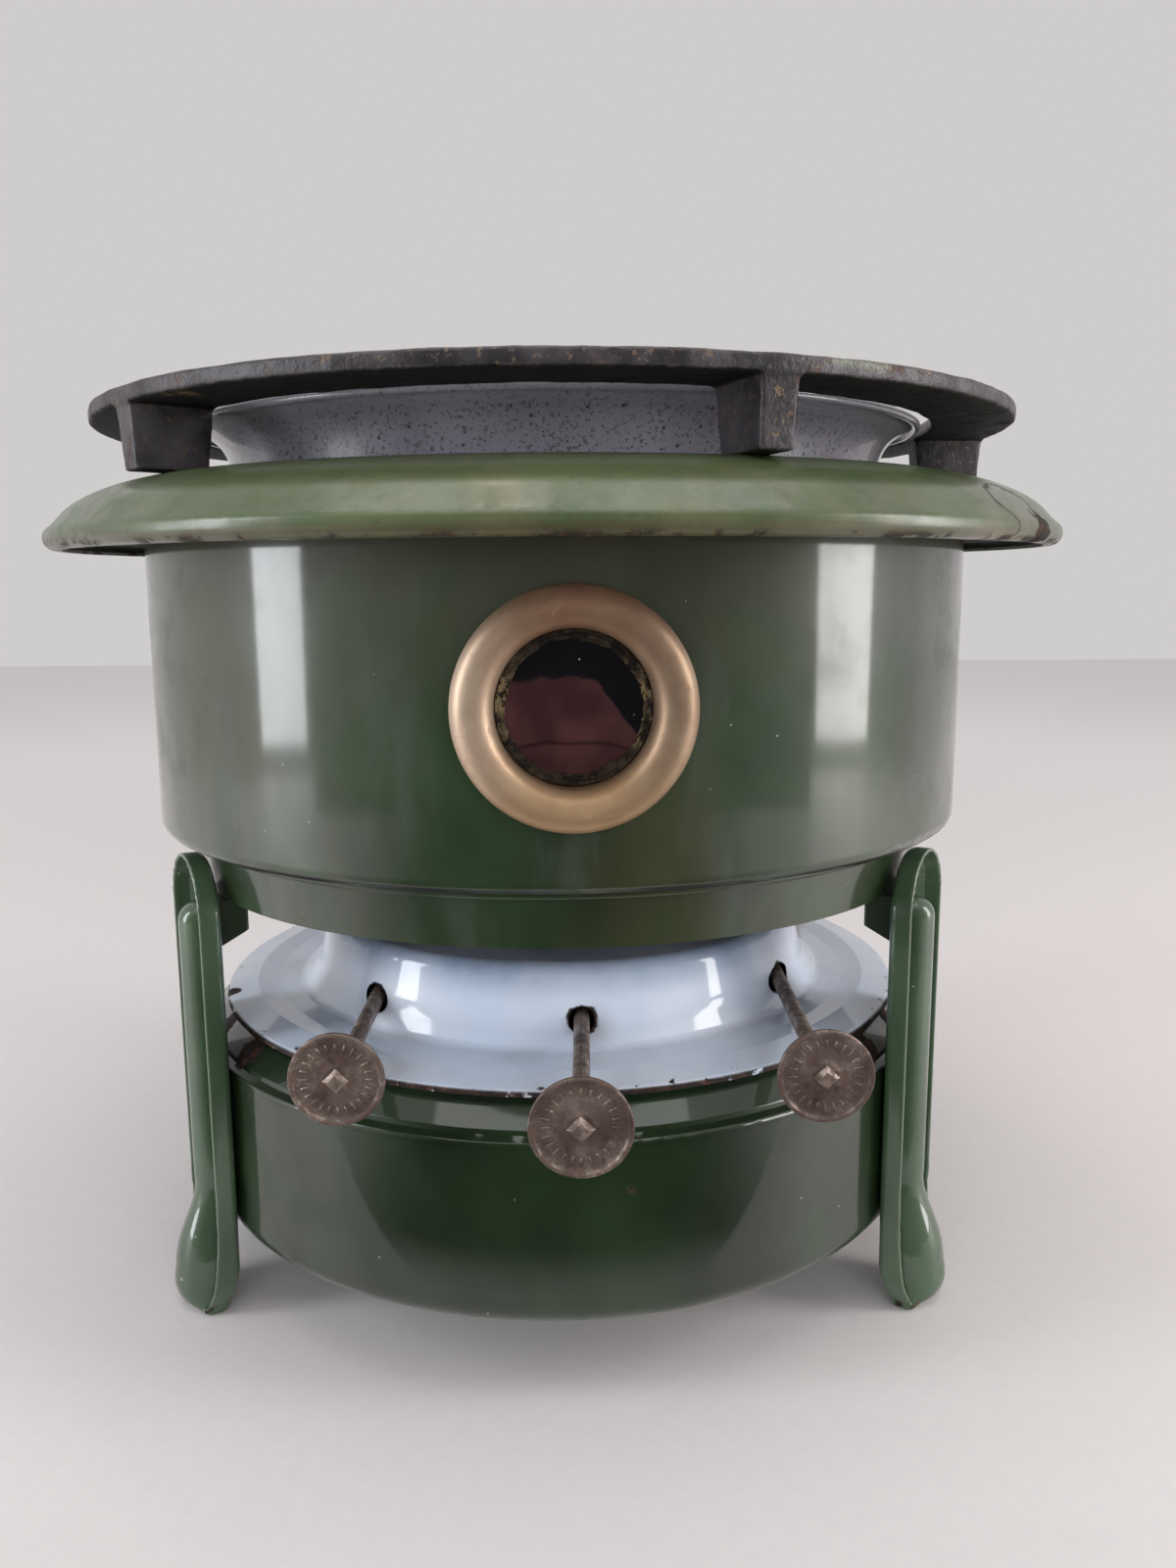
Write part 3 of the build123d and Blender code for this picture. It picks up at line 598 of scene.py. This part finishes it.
# %% Speckled grey enamel
def funnel_flecks(finish, colour):
    fine = specks(finish, 0.0013, 0.00030, 0.70)
    coarse = specks(finish, 0.0040, 0.00065, 0.60)
    pepper = ramp(finish, clouds(finish, 0.0011, 3.0, 0.7), 0.54, 0.64) * 0.7
    flecks = fine.larger(coarse).larger(pepper)
    colour = blend(finish, flecks * 0.85, colour, tone(38, 36, 44))
    lip = ramp(finish, height(finish), 0.2335, 0.2360)
    return blend(finish, lip * 0.25, colour, tone(186, 188, 196))


def funnel_soot(finish):
    inside = ramp(finish, reach(finish), 0.0880, 0.0876)
    return inside * ramp(finish, height(finish), 0.2150, 0.1950) * 0.9


grey_enamel = enamel(
    "grey_enamel", tone(124, 120, 131), tone(142, 139, 149), None, funnel_soot, funnel_flecks,
    peel=0.9, haze=0.6, dust=0.0,
)
print("speckled grey enamel")

# %% [markdown]
# ## Cast iron
# The pot ring is raw cast iron under decades of stove black: near black, with a
# sandy skin from the mould, brown rust coming through in patches, and one pale
# scuff where the ring was dragged. Iron is not shiny, but its edges are burnished
# by pans, so the sharp edges are smoother than the faces.

# %% Cast iron
ring_scuff = (66.0, -112.0, 239.0)
foot_crust = (-79.0, -95.0, 229.0)


def cast_iron():
    finish = Finish("cast_iron")
    skin = clouds(finish, 0.0014, 4.0, 0.7)
    colour = two_tones(finish, 0.012, 0.35, 0.65, tone(42, 39, 43), tone(76, 72, 76))
    rust = ramp(finish, clouds(finish, 0.014, 6.0, 0.72), 0.55, 0.66)
    colour = blend(finish, rust * 0.6, colour, tone(74, 46, 36))
    fleck = ramp(finish, clouds(finish, 0.0024, 4.0, 0.7), 0.58, 0.65)
    colour = blend(finish, fleck * 0.60, colour, tone(118, 94, 70))
    # The faces that point down are made near black: partly soot, partly painted shade. They are
    # rougher too.
    faces = finish.add("ShaderNodeNewGeometry", out="Normal")
    under = ramp(finish, along(finish, "Z", faces), -0.45, -0.80)
    colour = blend(finish, under * 0.9, colour, soot_black)
    crumbs = ramp(finish, clouds(finish, 0.0022, 3.0), 0.44, 0.56)
    crust = patch(finish, foot_crust, 9.0, 0.4) * crumbs
    colour = blend(finish, crust * 0.8, colour, tone(122, 104, 66))
    edge_only = ramp(finish, height(finish), 0.2378, 0.2396)
    scuff = patch(finish, ring_scuff, 13.0, 1.1, 0.012) * edge_only
    colour = blend(finish, scuff * skin * 0.8, colour, tone(140, 146, 128))
    # The sharp edges are lighter: partly burnish, partly a painted highlight.
    burnish_and_painted_highlight = edge_wear(finish, 0.518, 0.57)
    colour = blend(finish, burnish_and_painted_highlight * 0.6, colour, tone(124, 118, 114))
    lumps = clouds(finish, 0.0055, 3.0)
    bumps = skin * 0.00022 + lumps * 0.00045 - rust * 0.00008 - fleck * 0.00010
    return finish.set(
        base_color=colour,
        roughness=0.40 + rust * 0.30 - burnish_and_painted_highlight * 0.12 + under * 0.3,
        metallic=0.15 + burnish_and_painted_highlight * 0.5,
        specular_ior_level=0.45,
        normal=relief(finish, bumps),
    )


cast_iron_finish = cast_iron()
print("cast iron, scuffed at", ring_scuff)

# %% [markdown]
# ## Metals
# The window's bezel is spun copper alloy, warm and satin. It is painted darker brown at
# the top as shade, paler below and on the left as reflection and highlight, and darker on
# the right as shade. The knobs and spindles are plain steel that has rusted evenly.
# Tubes and boxes inside were tinned. All of them are the same recipe with other
# numbers: two metal tones in clouds, a tarnish that dulls them, and fine scratches.

# %% One recipe for the metals
def metal(name, dark, bright, tarnish, rough, shine=1.0, cover=0.5, pits=0.00003, extra=None):
    """Metal of two tones with a duller tarnish over part of it. shine is how metallic it
    looks, cover how far the tarnish has spread, and pits the depth of its grain."""
    finish = Finish(name)
    colour = two_tones(finish, 0.009, 0.34, 0.66, dark, bright, rough=0.6)
    film = ramp(finish, clouds(finish, 0.0032, 5.0, 0.7), 0.66 - 0.3 * cover, 0.80 - 0.3 * cover)
    colour = blend(finish, film * 0.8, colour, tarnish)
    worn = edge_wear(finish)
    colour = blend(finish, worn * 0.55, colour, bright)
    if extra:
        colour = extra(finish, colour)
    grain = clouds(finish, 0.0007, 3.0, 0.6)
    return finish.set(
        base_color=colour,
        metallic=shine * (1 - film * 0.45),
        roughness=rough + film * 0.22 + grain * 0.06 - worn * 0.08,
        normal=relief(finish, grain * pits + clouds(finish, 0.004, 3.0) * (pits * 3)),
    )


window_azimuth = 2.8
window_centre = spot(window_azimuth, 115.6, 169.8)
crumb_place = (window_centre[0] + 1.5, window_centre[1] - 2.0, 188.0)


def bezel_painted_light_and_crumb(finish, colour):
    """Painted shade darker brown at the top, painted reflection paler gold below, a painted
    highlight on the left and painted shade on the right, with a pale crumb of crust at the bore.
    """
    # Painted shade: darker brown towards the top.
    top = ramp(finish, height(finish), 0.1730, 0.1950)
    colour = blend(finish, top * 0.72, colour, tone(126, 86, 64))
    # Painted reflection: paler gold towards the lower edge.
    bottom = ramp(finish, height(finish), 0.1680, 0.1480)
    colour = blend(finish, bottom * 0.50, colour, tone(186, 148, 102))
    # A painted highlight on the left and painted shade on the right.
    across = along(finish, "X") - window_centre[0] * MM
    left = ramp(finish, across, -8 * MM, -24 * MM)
    colour = blend(finish, left * 0.55, colour, tone(206, 184, 164))
    right = ramp(finish, across, 4 * MM, 22 * MM)
    colour = blend(finish, right * 0.40, colour, tone(118, 98, 84))
    crumb = patch(finish, crumb_place, 1.6, 0.8, 0.002)
    return blend(finish, crumb, colour, tone(206, 196, 140))


copper_finish = metal(
    "copper_toned_brass", tone(166, 138, 112), tone(190, 164, 137), tone(142, 111, 86),
    rough=0.42, shine=0.60, cover=0.30, pits=0.000004, extra=bezel_painted_light_and_crumb,
)
rusty_finish = metal(
    "rusty_steel", tone(100, 85, 80), tone(164, 148, 138), tone(82, 63, 56),
    rough=0.40, shine=0.70, cover=0.85, pits=0.00006,
)
rubbed_finish = metal(
    "rubbed_steel", tone(120, 104, 95), tone(176, 160, 148), tone(84, 66, 58),
    rough=0.34, shine=0.85, cover=0.6, pits=0.00004,
)
tinned_finish = metal(
    "tinned_steel", tone(120, 118, 112), tone(160, 158, 150), tone(92, 82, 68), rough=0.34
)
brass_finish = metal(
    "cap_brass", tone(150, 118, 62), tone(190, 156, 90), tone(96, 72, 44), rough=0.30, cover=0.6
)


def deck_heat(finish, colour):
    """Blue and straw tints that steel takes near a flame."""
    blue = ramp(finish, clouds(finish, 0.024, 3.0), 0.48, 0.62)
    colour = blend(finish, blue * 0.5, colour, tone(62, 66, 84))
    straw = ramp(finish, clouds(finish, 0.019, 4.0), 0.58, 0.70)
    return blend(finish, straw * 0.5, colour, tone(120, 92, 58))


deck_finish = metal(
    "scorched_steel", tone(66, 58, 54), tone(96, 86, 80), tone(46, 40, 37),
    rough=0.46, shine=0.85, cover=0.7, extra=deck_heat,
)
print("copper, rusty steel, tinned steel, brass and scorched steel")

# %% [markdown]
# ## Mica, cotton and fibre
# The pane is a sheet of mica that lets the flame be seen: smoky, browned below and
# blackened above, in leaves that flake at the edge. The wicks are woven cotton,
# cream below and charred on top. The cap's washer is soft black fibre.

# %% Mica
smoke_level, crease_level = 175.7 * MM, 161.0 * MM


def mica():
    """Maroon below, black above a line that falls towards the right, with one crease."""
    finish = Finish("mica")
    level = height(finish) + (clouds(finish, 0.009, 4.0) - 0.5) * 0.006
    side = along(finish, "X") - (window_centre[0] + 4.0) * MM
    slope = (side + side.math("SQRT", side * side + 0.000006)) * 0.62
    smoke = ramp(finish, level + slope, smoke_level, smoke_level + 1.1 * MM)
    colour = two_tones(finish, 0.010, 0.35, 0.65, tone(56, 31, 33), tone(76, 44, 44), 3.0)
    sway = (clouds(finish, 0.02, 2.0) - 0.5) * 0.008
    fold = ramp(finish, height(finish) + sway, crease_level, crease_level + 1.5 * MM)
    crease = fold * (1 - fold) * 4
    colour = blend(finish, crease * 0.7, colour, tone(34, 16, 18))
    colour = blend(finish, smoke, colour, tone(12, 11, 16))
    colour = blend(finish, specks(finish, 0.006, 0.00028, 0.35), colour, tone(150, 140, 128))
    return finish.set(
        base_color=colour,
        roughness=0.22 + smoke * 0.18,
        coat_weight=0.6 - smoke * 0.3,
        coat_roughness=0.12,
        normal=relief(finish, clouds(finish, 0.012, 3.0) * 0.0003),
    )


def mica_crust():
    """Flaked, scorched leaves round the edge of the pane."""
    finish = Finish("mica_crust")
    colour = two_tones(finish, 0.0035, 0.40, 0.60, tone(78, 64, 42), tone(124, 108, 72), 4.0)
    cracks = ramp(finish, clouds(finish, 0.0026, 5.0, 0.75), 0.44, 0.54)
    level = height(finish) - window_centre[2] * MM
    sway = (clouds(finish, 0.006, 3.0) - 0.5) * 0.008
    ends = ramp(finish, level.size() + sway, 0.0070, 0.0110)
    colour = blend(finish, cracks.larger(ends * 0.85), colour, tone(26, 19, 15))
    return finish.set(
        base_color=colour,
        roughness=0.45 + cracks * 0.3,
        coat_weight=0.3 - cracks * 0.3,
        normal=relief(finish, clouds(finish, 0.0016, 4.0) * 0.0004),
    )


mica_finish = mica()
crust_finish = mica_crust()
print("mica and its crust")

# %% Cotton and fibre
weave_pitch = 1.6 * MM


def wave(signal):
    """A sine that repeats with the pitch of the weave."""
    return signal.math("SINE", signal * (2 * math.pi / weave_pitch))


def cotton():
    finish = Finish("cotton")
    weave = wave(along(finish, "Y")) * wave(height(finish))
    char = ramp(finish, height(finish) + clouds(finish, 0.004, 4.0) * 0.004, 0.1265, 0.1325)
    colour = blend(finish, ramp(finish, weave, -0.6, 0.6), tone(150, 136, 108), tone(206, 192, 162))
    colour = blend(finish, char, colour, tone(20, 17, 15))
    return finish.set(
        base_color=colour,
        roughness=0.92 - char * 0.05,
        specular_ior_level=0.15,
        normal=relief(finish, weave * 0.00018 + clouds(finish, 0.0006, 3.0) * 0.0002),
    )


def fibre():
    finish = Finish("fibre")
    colour = blend(finish, clouds(finish, 0.002, 4.0), tone(26, 25, 24), tone(52, 48, 45))
    skin = clouds(finish, 0.001, 3.0) * 0.0001
    return finish.set(base_color=colour, roughness=0.8, normal=relief(finish, skin))


cotton_finish = cotton()
fibre_finish = fibre()
print("cotton and fibre")

# %% [markdown]
# ## Putting the finishes on
# The turned sheets of the frame are smooth enough to be seen close up, so they stay
# and only take their finish. A prefix of the name is enough to find which one.

# %% Finish by name
finish_by_name = {
    "tank": tank_enamel,
    "drum": drum_enamel,
    "skirt": skirt_enamel,
    "seam_bead": skirt_enamel,
    "leg": leg_enamel,
    "seat_bracket": bracket_enamel,
    "collar": olive_enamel,
    "drip_plate": white_enamel,
    "flame_funnel": grey_enamel,
    "pot_ring": cast_iron_finish,
    "window_bezel": copper_finish,
    "mica_pane": mica_finish,
    "mica_retainer": tinned_finish,
    "flame_deck": deck_finish,
    "wick_tube": tinned_finish,
    "wheel_box": tinned_finish,
    "star_wheels": tinned_finish,
    "spindle": rusty_finish,
    "knob": rusty_finish,
    "wick_left": cotton_finish,
    "wick_centre": cotton_finish,
    "wick_right": cotton_finish,
    "filler_neck": tinned_finish,
    "filler_cap": brass_finish,
    "cap_seal": fibre_finish,
}
for name, piece in nodes.items():
    prefix = next(start for start in finish_by_name if name.startswith(start))
    piece.data.materials.clear()
    piece.data.materials.append(finish_by_name[prefix])
print(len(nodes), "pieces finished")

# %% [markdown]
# ## Soft copies of pressed and cast pieces
# A pressed leg has no sharp inner corner: the sheet flows into its rib, and the
# enamel rounds what is left. A casting is round too, and sandy. Modelling every
# fillet by hand is slow. Remeshing the exact piece into small even squares and
# letting them relax rounds everything at once, and the dense even mesh also tells
# the shader where the edges are.

# %% Soften
def take_place(piece, node, body, finish):
    """The new mesh piece stands for a node of the frame."""
    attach(piece, body)
    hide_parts(node)
    piece.data.materials.clear()
    piece.data.materials.append(finish)
    return piece


def soften(node, name, square, relax, rounds):
    """A copy of a node, remeshed into small squares and relaxed."""
    piece = bpy.data.objects.new(name, nodes[node].data.copy())
    bpy.context.scene.collection.objects.link(piece)
    bpy.ops.object.select_all(action="DESELECT")
    bpy.context.view_layer.objects.active = piece
    piece.select_set(True)
    remesh = piece.modifiers.new("even squares", "REMESH")
    remesh.mode = "VOXEL"
    remesh.voxel_size = square * MM
    smooth = piece.modifiers.new("relax", "SMOOTH")
    smooth.factor = relax
    smooth.iterations = rounds
    for modifier in (remesh, smooth):
        bpy.ops.object.modifier_apply(modifier=modifier.name)
    piece.data.shade_smooth()
    return piece


print("a voxel remesh and a relaxing pass")

# %% Three pressed legs
leg_back, toe_height, rib_reach = 107.3, 11.0, 10.8     # in millimetres
toe_swell, toe_lift = 0.22, 4.5


def blunt_toe(leg, azimuth):
    """The toe keeps its width to the bottom and lifts a little at its outer end."""
    outward = Vector(spot(azimuth, 1, 0))
    sideways = Vector((outward.y, -outward.x, 0))
    for corner in leg.data.vertices:
        depth = corner.co.dot(outward) / MM - leg_back
        low = max(0.0, 1 - corner.co.z / (toe_height * MM))
        if depth > 1.0 and low > 0:
            across = corner.co.dot(sideways)
            inside = max(0.0, 1 - abs(across) / (rib_reach * MM))
            swell = toe_swell * low**1.5 * min(1.0, inside * 5)
            lift = toe_lift * MM * max(0.0, (depth - 7) / 8) * low
            corner.co += sideways * across * swell
            corner.co += outward * (depth * swell * 0.6 * MM) + Vector((0, 0, lift))
        corner.co.z = max(corner.co.z, 0.0)


for side, azimuth in leg_azimuths.items():
    leg = soften(f"leg_{side}", f"pressed_leg_{side}", square=0.5, relax=0.6, rounds=7)
    blunt_toe(leg, azimuth)
    take_place(leg, f"leg_{side}", "stand", leg_enamel)
print("a leg has", len(leg.data.polygons), "faces")

# %% [markdown]
# The ring is treated alike, and then pushed in and out a little by cloud noise,
# because no two casts come out of the sand the same. Its top was ground flat for
# the pot, so the sand may not lift it above the height of the frame.

# %% Cast ring
sand_grain, sand_height, top_margin = 9 * MM, 0.5 * MM, 0.05 * MM

ring = soften("pot_ring", "cast_pot_ring", square=0.6, relax=0.5, rounds=4)
sand = bpy.data.textures.new("sand", "CLOUDS")
sand.noise_scale = sand_grain
sand.noise_depth = 3
lumps = ring.modifiers.new("sand skin", "DISPLACE")
lumps.texture = sand
lumps.strength = sand_height
lumps.mid_level = 0.5
bpy.context.view_layer.objects.active = ring
bpy.ops.object.modifier_apply(modifier=lumps.name)
ring_top = max(corner[2] for corner in construction_box)
for corner in ring.data.vertices:
    corner.co.z = min(corner.co.z, ring_top - top_margin)
take_place(ring, "pot_ring", "pot_ring", cast_iron_finish)
print("the ring has", len(ring.data.polygons), "faces")

# %% [markdown]
# ## The knobs
# Each knob is a stamped steel disc like a coin: a thin raised rim, a shallow face,
# and a small boss where the square head of the spindle is riveted over. The face
# has a plain ring of short strokes, as on a dial.
# A turned section is revolved in code, which gives even faces that can be bent a
# touch, because no stamped disc stays flat.

# %% Turning a closed section
def mesh_piece(name, points, faces):
    """A smooth mesh object from points in millimetres."""
    mesh = bpy.data.meshes.new(name)
    mesh.from_pydata([Vector(point) * MM for point in points], [], faces)
    mesh.shade_smooth()
    piece = bpy.data.objects.new(name, mesh)
    bpy.context.scene.collection.objects.link(piece)
    return piece


def round_faces(steps, size):
    """Faces between closed sections of that many points, set round a full turn."""
    return [
        (
            step * size + row,
            step * size + (row + 1) % size,
            (step + 1) % steps * size + (row + 1) % size,
            (step + 1) % steps * size + row,
        )
        for step in range(steps)
        for row in range(size)
    ]


def turned(section, steps, place):
    """Points and faces of a closed section (radius, depth) revolved. place maps
    radius, angle and depth to a point."""
    points = [
        place(radius, 2 * math.pi * step / steps, depth)
        for step in range(steps)
        for radius, depth in section
    ]
    return points, round_faces(steps, len(section))


print("120 steps of a 23-point section give", len(round_faces(120, 23)), "faces")

# %% Three stamped knobs
knob_fronts = {"left": 108.0, "centre": 133.0, "right": 108.0}
knob_section = (
    (1.46, 0.05), (3.0, 0.0), (6.5, 0.0), (9.6, 0.0), (10.3, 0.18), (10.75, 0.55), (10.95, 1.0),
    (11.0, 1.5), (10.97, 1.85), (10.8, 2.06), (10.5, 2.1), (10.15, 2.06), (9.95, 1.88),
    (9.85, 1.62), (9.6, 1.44), (9.0, 1.38), (6.5, 1.40), (4.2, 1.42), (3.5, 1.46), (3.2, 1.62),
    (2.8, 1.70), (1.9, 1.70), (1.46, 1.44),
)
knob_gap, knob_warp = 0.02, 0.16
stroke_count, stroke_foot, face_level = 24, 1.30, 1.40
stroke_inner, stroke_outer, stroke_width, stroke_height = 6.4, 8.6, 0.62, 0.36


def knob_stroke(place, angle, inner, outer, width, base, top):
    """A small raised bar with sloping sides, as points and faces."""
    points, faces = [], []
    for spread, depth in ((1.0, base), (0.55, top)):
        middle, half = (inner + outer) / 2, (outer - inner) / 2 * (0.85 + 0.15 * spread)
        for across, along in ((-1, -1), (1, -1), (1, 1), (-1, 1)):
            radius = middle + along * half
            points.append(place(radius, angle + across * spread * width / 2 / radius, depth))
    faces.append((4, 5, 6, 7))
    faces.append((3, 2, 1, 0))
    for corner in range(4):
        follow = (corner + 1) % 4
        faces.append((corner, follow, follow + 4, corner + 4))
    return points, faces


for number, (side, across) in enumerate(spindle_places.items()):
    draw = random.Random(number)
    lean = draw.uniform(0, 2 * math.pi)

    def place(radius, angle, depth, across=across, lean=lean, front=knob_fronts[side]):
        warp = knob_warp * (radius / 11) ** 2 * math.cos(2 * angle + lean)
        return (
            across + radius * math.cos(angle),
            -(front + knob_gap + depth + warp),
            spindle_level + radius * math.sin(angle),
        )

    points, faces = turned(knob_section, 120, place)
    plain_faces = len(faces)
    for stroke in range(stroke_count):
        angle = 2 * math.pi * (stroke + draw.uniform(-0.02, 0.02)) / stroke_count
        length = draw.uniform(0.93, 1.0)
        bar, sides = knob_stroke(
            place, angle, stroke_outer - (stroke_outer - stroke_inner) * length, stroke_outer,
            stroke_width, stroke_foot, face_level + stroke_height * draw.uniform(0.6, 1.0),
        )
        faces += [tuple(len(points) + corner for corner in face) for face in sides]
        points += bar
    knob = mesh_piece(f"stamped_knob_{side}", points, faces)
    take_place(knob, f"knob_{side}", f"spindle_{side}", rusty_finish)
    knob.data.materials.append(rubbed_finish)
    for face in knob.data.polygons[plain_faces:]:
        face.material_index = 1
print("a knob has", len(knob.data.polygons), "faces")

# %% [markdown]
# ## Flaked mica round the pane
# The mica sheet is built of leaves, and heat has curled and crumbled them where the
# ring holds the pane. That is a ragged ring of thin leaves, one over the other, so it
# is made of real thin rings whose inner edge wanders.

# %% Leaves of mica
window_out = Vector(spot(window_azimuth, 1, 0))
upwards = Vector((0, 0, 1))
window_side = upwards.cross(window_out)
pane_front = -2.8        # the pane's face, this far behind the drum's outer side
leaf_outer = 16.6


def ragged_leaf(name, middle, wander, back, front, seed, steps=220):
    """A thin ring with a wandering inner edge, from back to front of the window. Its
    edge is a sum of waves, so that it wanders in large and in small."""
    draw = random.Random(seed)
    waves = [
        (count, draw.uniform(0, 6.28), draw.uniform(0.3, 1.0)) for count in (2, 3, 5, 8, 13, 21, 34)
    ]
    points = []
    for step in range(steps):
        angle = 2 * math.pi * step / steps
        sway = sum(
            strength * math.sin(count * angle + phase) / count**0.5
            for count, phase, strength in waves
        )
        inner = middle + wander * sway + draw.uniform(-0.12, 0.12)
        curl = 0.35 * max(0.0, sway) * (front - back)
        section = (
            (leaf_outer, back), (leaf_outer, front), (inner + 0.5, front), (inner, front + curl),
            (inner - 0.1, (front + back) / 2 + curl), (inner, back),
        )
        spoke = window_side * math.cos(angle) + upwards * math.sin(angle)
        for radius, depth in section:
            centre = Vector(window_centre) + window_out * (pane_front + depth)
            points.append(centre + radius * spoke)
    leaf = mesh_piece(name, points, round_faces(steps, len(section)))
    leaf.data.materials.append(crust_finish)
    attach(leaf, "mantle")
    return leaf


ragged_leaf("mica_leaf_back", 14.5, 0.40, 0.05, 0.20, 3)
ragged_leaf("mica_leaf_middle", 15.2, 0.40, 0.24, 0.42, 8)
ragged_leaf("mica_leaf_front", 15.9, 0.30, 0.46, 0.75, 21)
print("three leaves of mica in front of the pane")

# %% [markdown]
# ## Floor, lamps and the dark screen
# Glossy enamel is only as good as what it reflects. Two tall soft lamps stand left
# and right of the cooker and give the two upright highlights on the drum. A large
# soft lamp overhead and a wide one in front fill the rest. A curved dark screen,
# seen only by reflections, stands round the front: it keeps the middle of the drum
# deep green, and it pales towards its ends, so the highlights fade in softly. A dark
# apron in front does the same for the tank, which mirrors what lies before it. The
# pale floor glows a little far away, so that it meets the background without a line.
# What is seen or mirrored of the world is bright, and what lights the cooker is soft.

# %% Floor and world
floor_reach = 2500
black = (0.0, 0.0, 0.0)
backdrop_colour = tone(207, 204, 204)
soft_light, far_glow = 0.50, 0.36

floor = mesh_piece(
    "floor",
    [(x * floor_reach, y * floor_reach, 0) for x, y in ((-1, -1), (1, -1), (1, 1), (-1, 1))],
    [(0, 1, 2, 3)],
)
table = Finish("table")
far = ramp(table, reach(table), 0.18, 1.30)
lit = table.add("ShaderNodeLightPath", out="Is Camera Ray")
lit = lit.larger(lit.other("Is Glossy Ray"))
grain = clouds(table, 0.004, 4.0)
glow = tuple(part * far_glow for part in backdrop_colour)
floor.data.materials.append(
    table.set(
        base_color=blend(table, grain, tone(220, 214, 215), tone(228, 222, 222)),
        roughness=0.55,
        specular_ior_level=0.3,
        emission_color=blend(table, far * lit, black, glow),
        emission_strength=1.0,
        normal=relief(table, clouds(table, 0.003, 3.0) * 0.00004),
    )
)

world = bpy.data.worlds.new("world")
bpy.context.scene.world = world
world.use_nodes = True
air = Graph(world.node_tree)
background = air.tree.nodes["Background"]
seen = air.add("ShaderNodeLightPath", out="Is Camera Ray")
seen = seen.larger(seen.other("Is Glossy Ray")).larger(seen.other("Is Transmission Ray"))
air.feed(background.inputs["Strength"], soft_light + seen * (1 - soft_light))
air.feed(background.inputs["Color"], backdrop_colour)
print("a floor of", 2 * floor_reach * MM, "m")

# %% Lamps
def soft_lamp(name, centre, target, width, tall, power, colour, glints=True):
    """A rectangular lamp that shines from centre towards target."""
    light = bpy.data.lights.new(name, "AREA")
    light.shape = "RECTANGLE"
    light.size, light.size_y, light.energy, light.color = width, tall, power, colour
    lamp = bpy.data.objects.new(name, light)
    bpy.context.scene.collection.objects.link(lamp)
    lamp.location = centre
    lamp.rotation_euler = (Vector(target) - Vector(centre)).to_track_quat("-Z", "Y").to_euler()
    lamp.visible_camera = False
    lamp.visible_glossy = glints


at_drum, at_middle, at_collar = (0, -0.05, 0.20), (0, 0, 0.1), (0, -0.1, 0.2)
cool, day, warm, candle = (0.93, 0.97, 1.0), (0.97, 0.98, 1.0), (1.0, 0.98, 0.95), (1.0, 0.82, 0.55)
soft_lamp("lamp_left", (-0.93, -0.32, 0.42), at_drum, 0.28, 0.80, 5.5, cool)
soft_lamp("lamp_right", (0.96, -0.22, 0.42), at_drum, 0.34, 0.80, 6.5, warm)
soft_lamp("lamp_above", (0.0, -0.10, 1.40), at_middle, 1.3, 1.3, 8.0, (1.0, 1.0, 1.0))
soft_lamp("lamp_front", (0.05, -1.35, 0.45), at_middle, 1.6, 0.7, 9.0, day, glints=False)
soft_lamp("lamp_ceiling", (-0.19, 0.20, 1.75), at_collar, 0.07, 0.07, 0.6, candle)
print("five lamps")

# %% The dark screen
screen_radius, screen_top, screen_parts = 860, 760, 24
screen_start, screen_end = math.radians(-61), math.radians(66)


def mirrored_only(piece, finish, colour, alpha=1.0):
    """A stage piece that glows faintly and is seen in reflections alone."""
    piece.data.materials.append(
        finish.set(
            base_color=black,
            roughness=1.0,
            specular_ior_level=0.0,
            emission_color=colour,
            emission_strength=1.0,
            alpha=alpha,
        )
    )
    piece.visible_camera = piece.visible_diffuse = piece.visible_shadow = False


edges = [
    screen_start + (screen_end - screen_start) * part / screen_parts
    for part in range(screen_parts + 1)
]
screen = mesh_piece(
    "dark_screen",
    [
        (screen_radius * math.sin(edge), -screen_radius * math.cos(edge), level)
        for edge in edges
        for level in (1, screen_top)
    ],
    [(2 * part, 2 * part + 2, 2 * part + 3, 2 * part + 1) for part in range(screen_parts)],
)
shade = Finish("shade")
side = ramp(shade, along(shade, "X").size(), 0.34, 0.76)
mirrored_only(screen, shade, blend(shade, side, tone(34, 34, 32), tone(150, 150, 146)))
print("a screen of", screen_parts, "parts")

# %% The dark apron
apron = mesh_piece(
    "dark_apron",
    [(x, y, 1) for x, y in ((-300, -140), (300, -140), (760, -860), (-760, -860))],
    [(0, 1, 2, 3)],
)
dusk = Finish("dusk")
spread = along(dusk, "X").size() / (reach(dusk) + 0.05)
mirrored_only(
    apron,
    dusk,
    blend(dusk, clouds(dusk, 0.2, 2.0), tone(17, 17, 15), tone(32, 31, 28)),
    alpha=ramp(dusk, spread, 0.78, 0.40) * ramp(dusk, reach(dusk), 0.150, 0.180),
)
print("an apron before the tank")
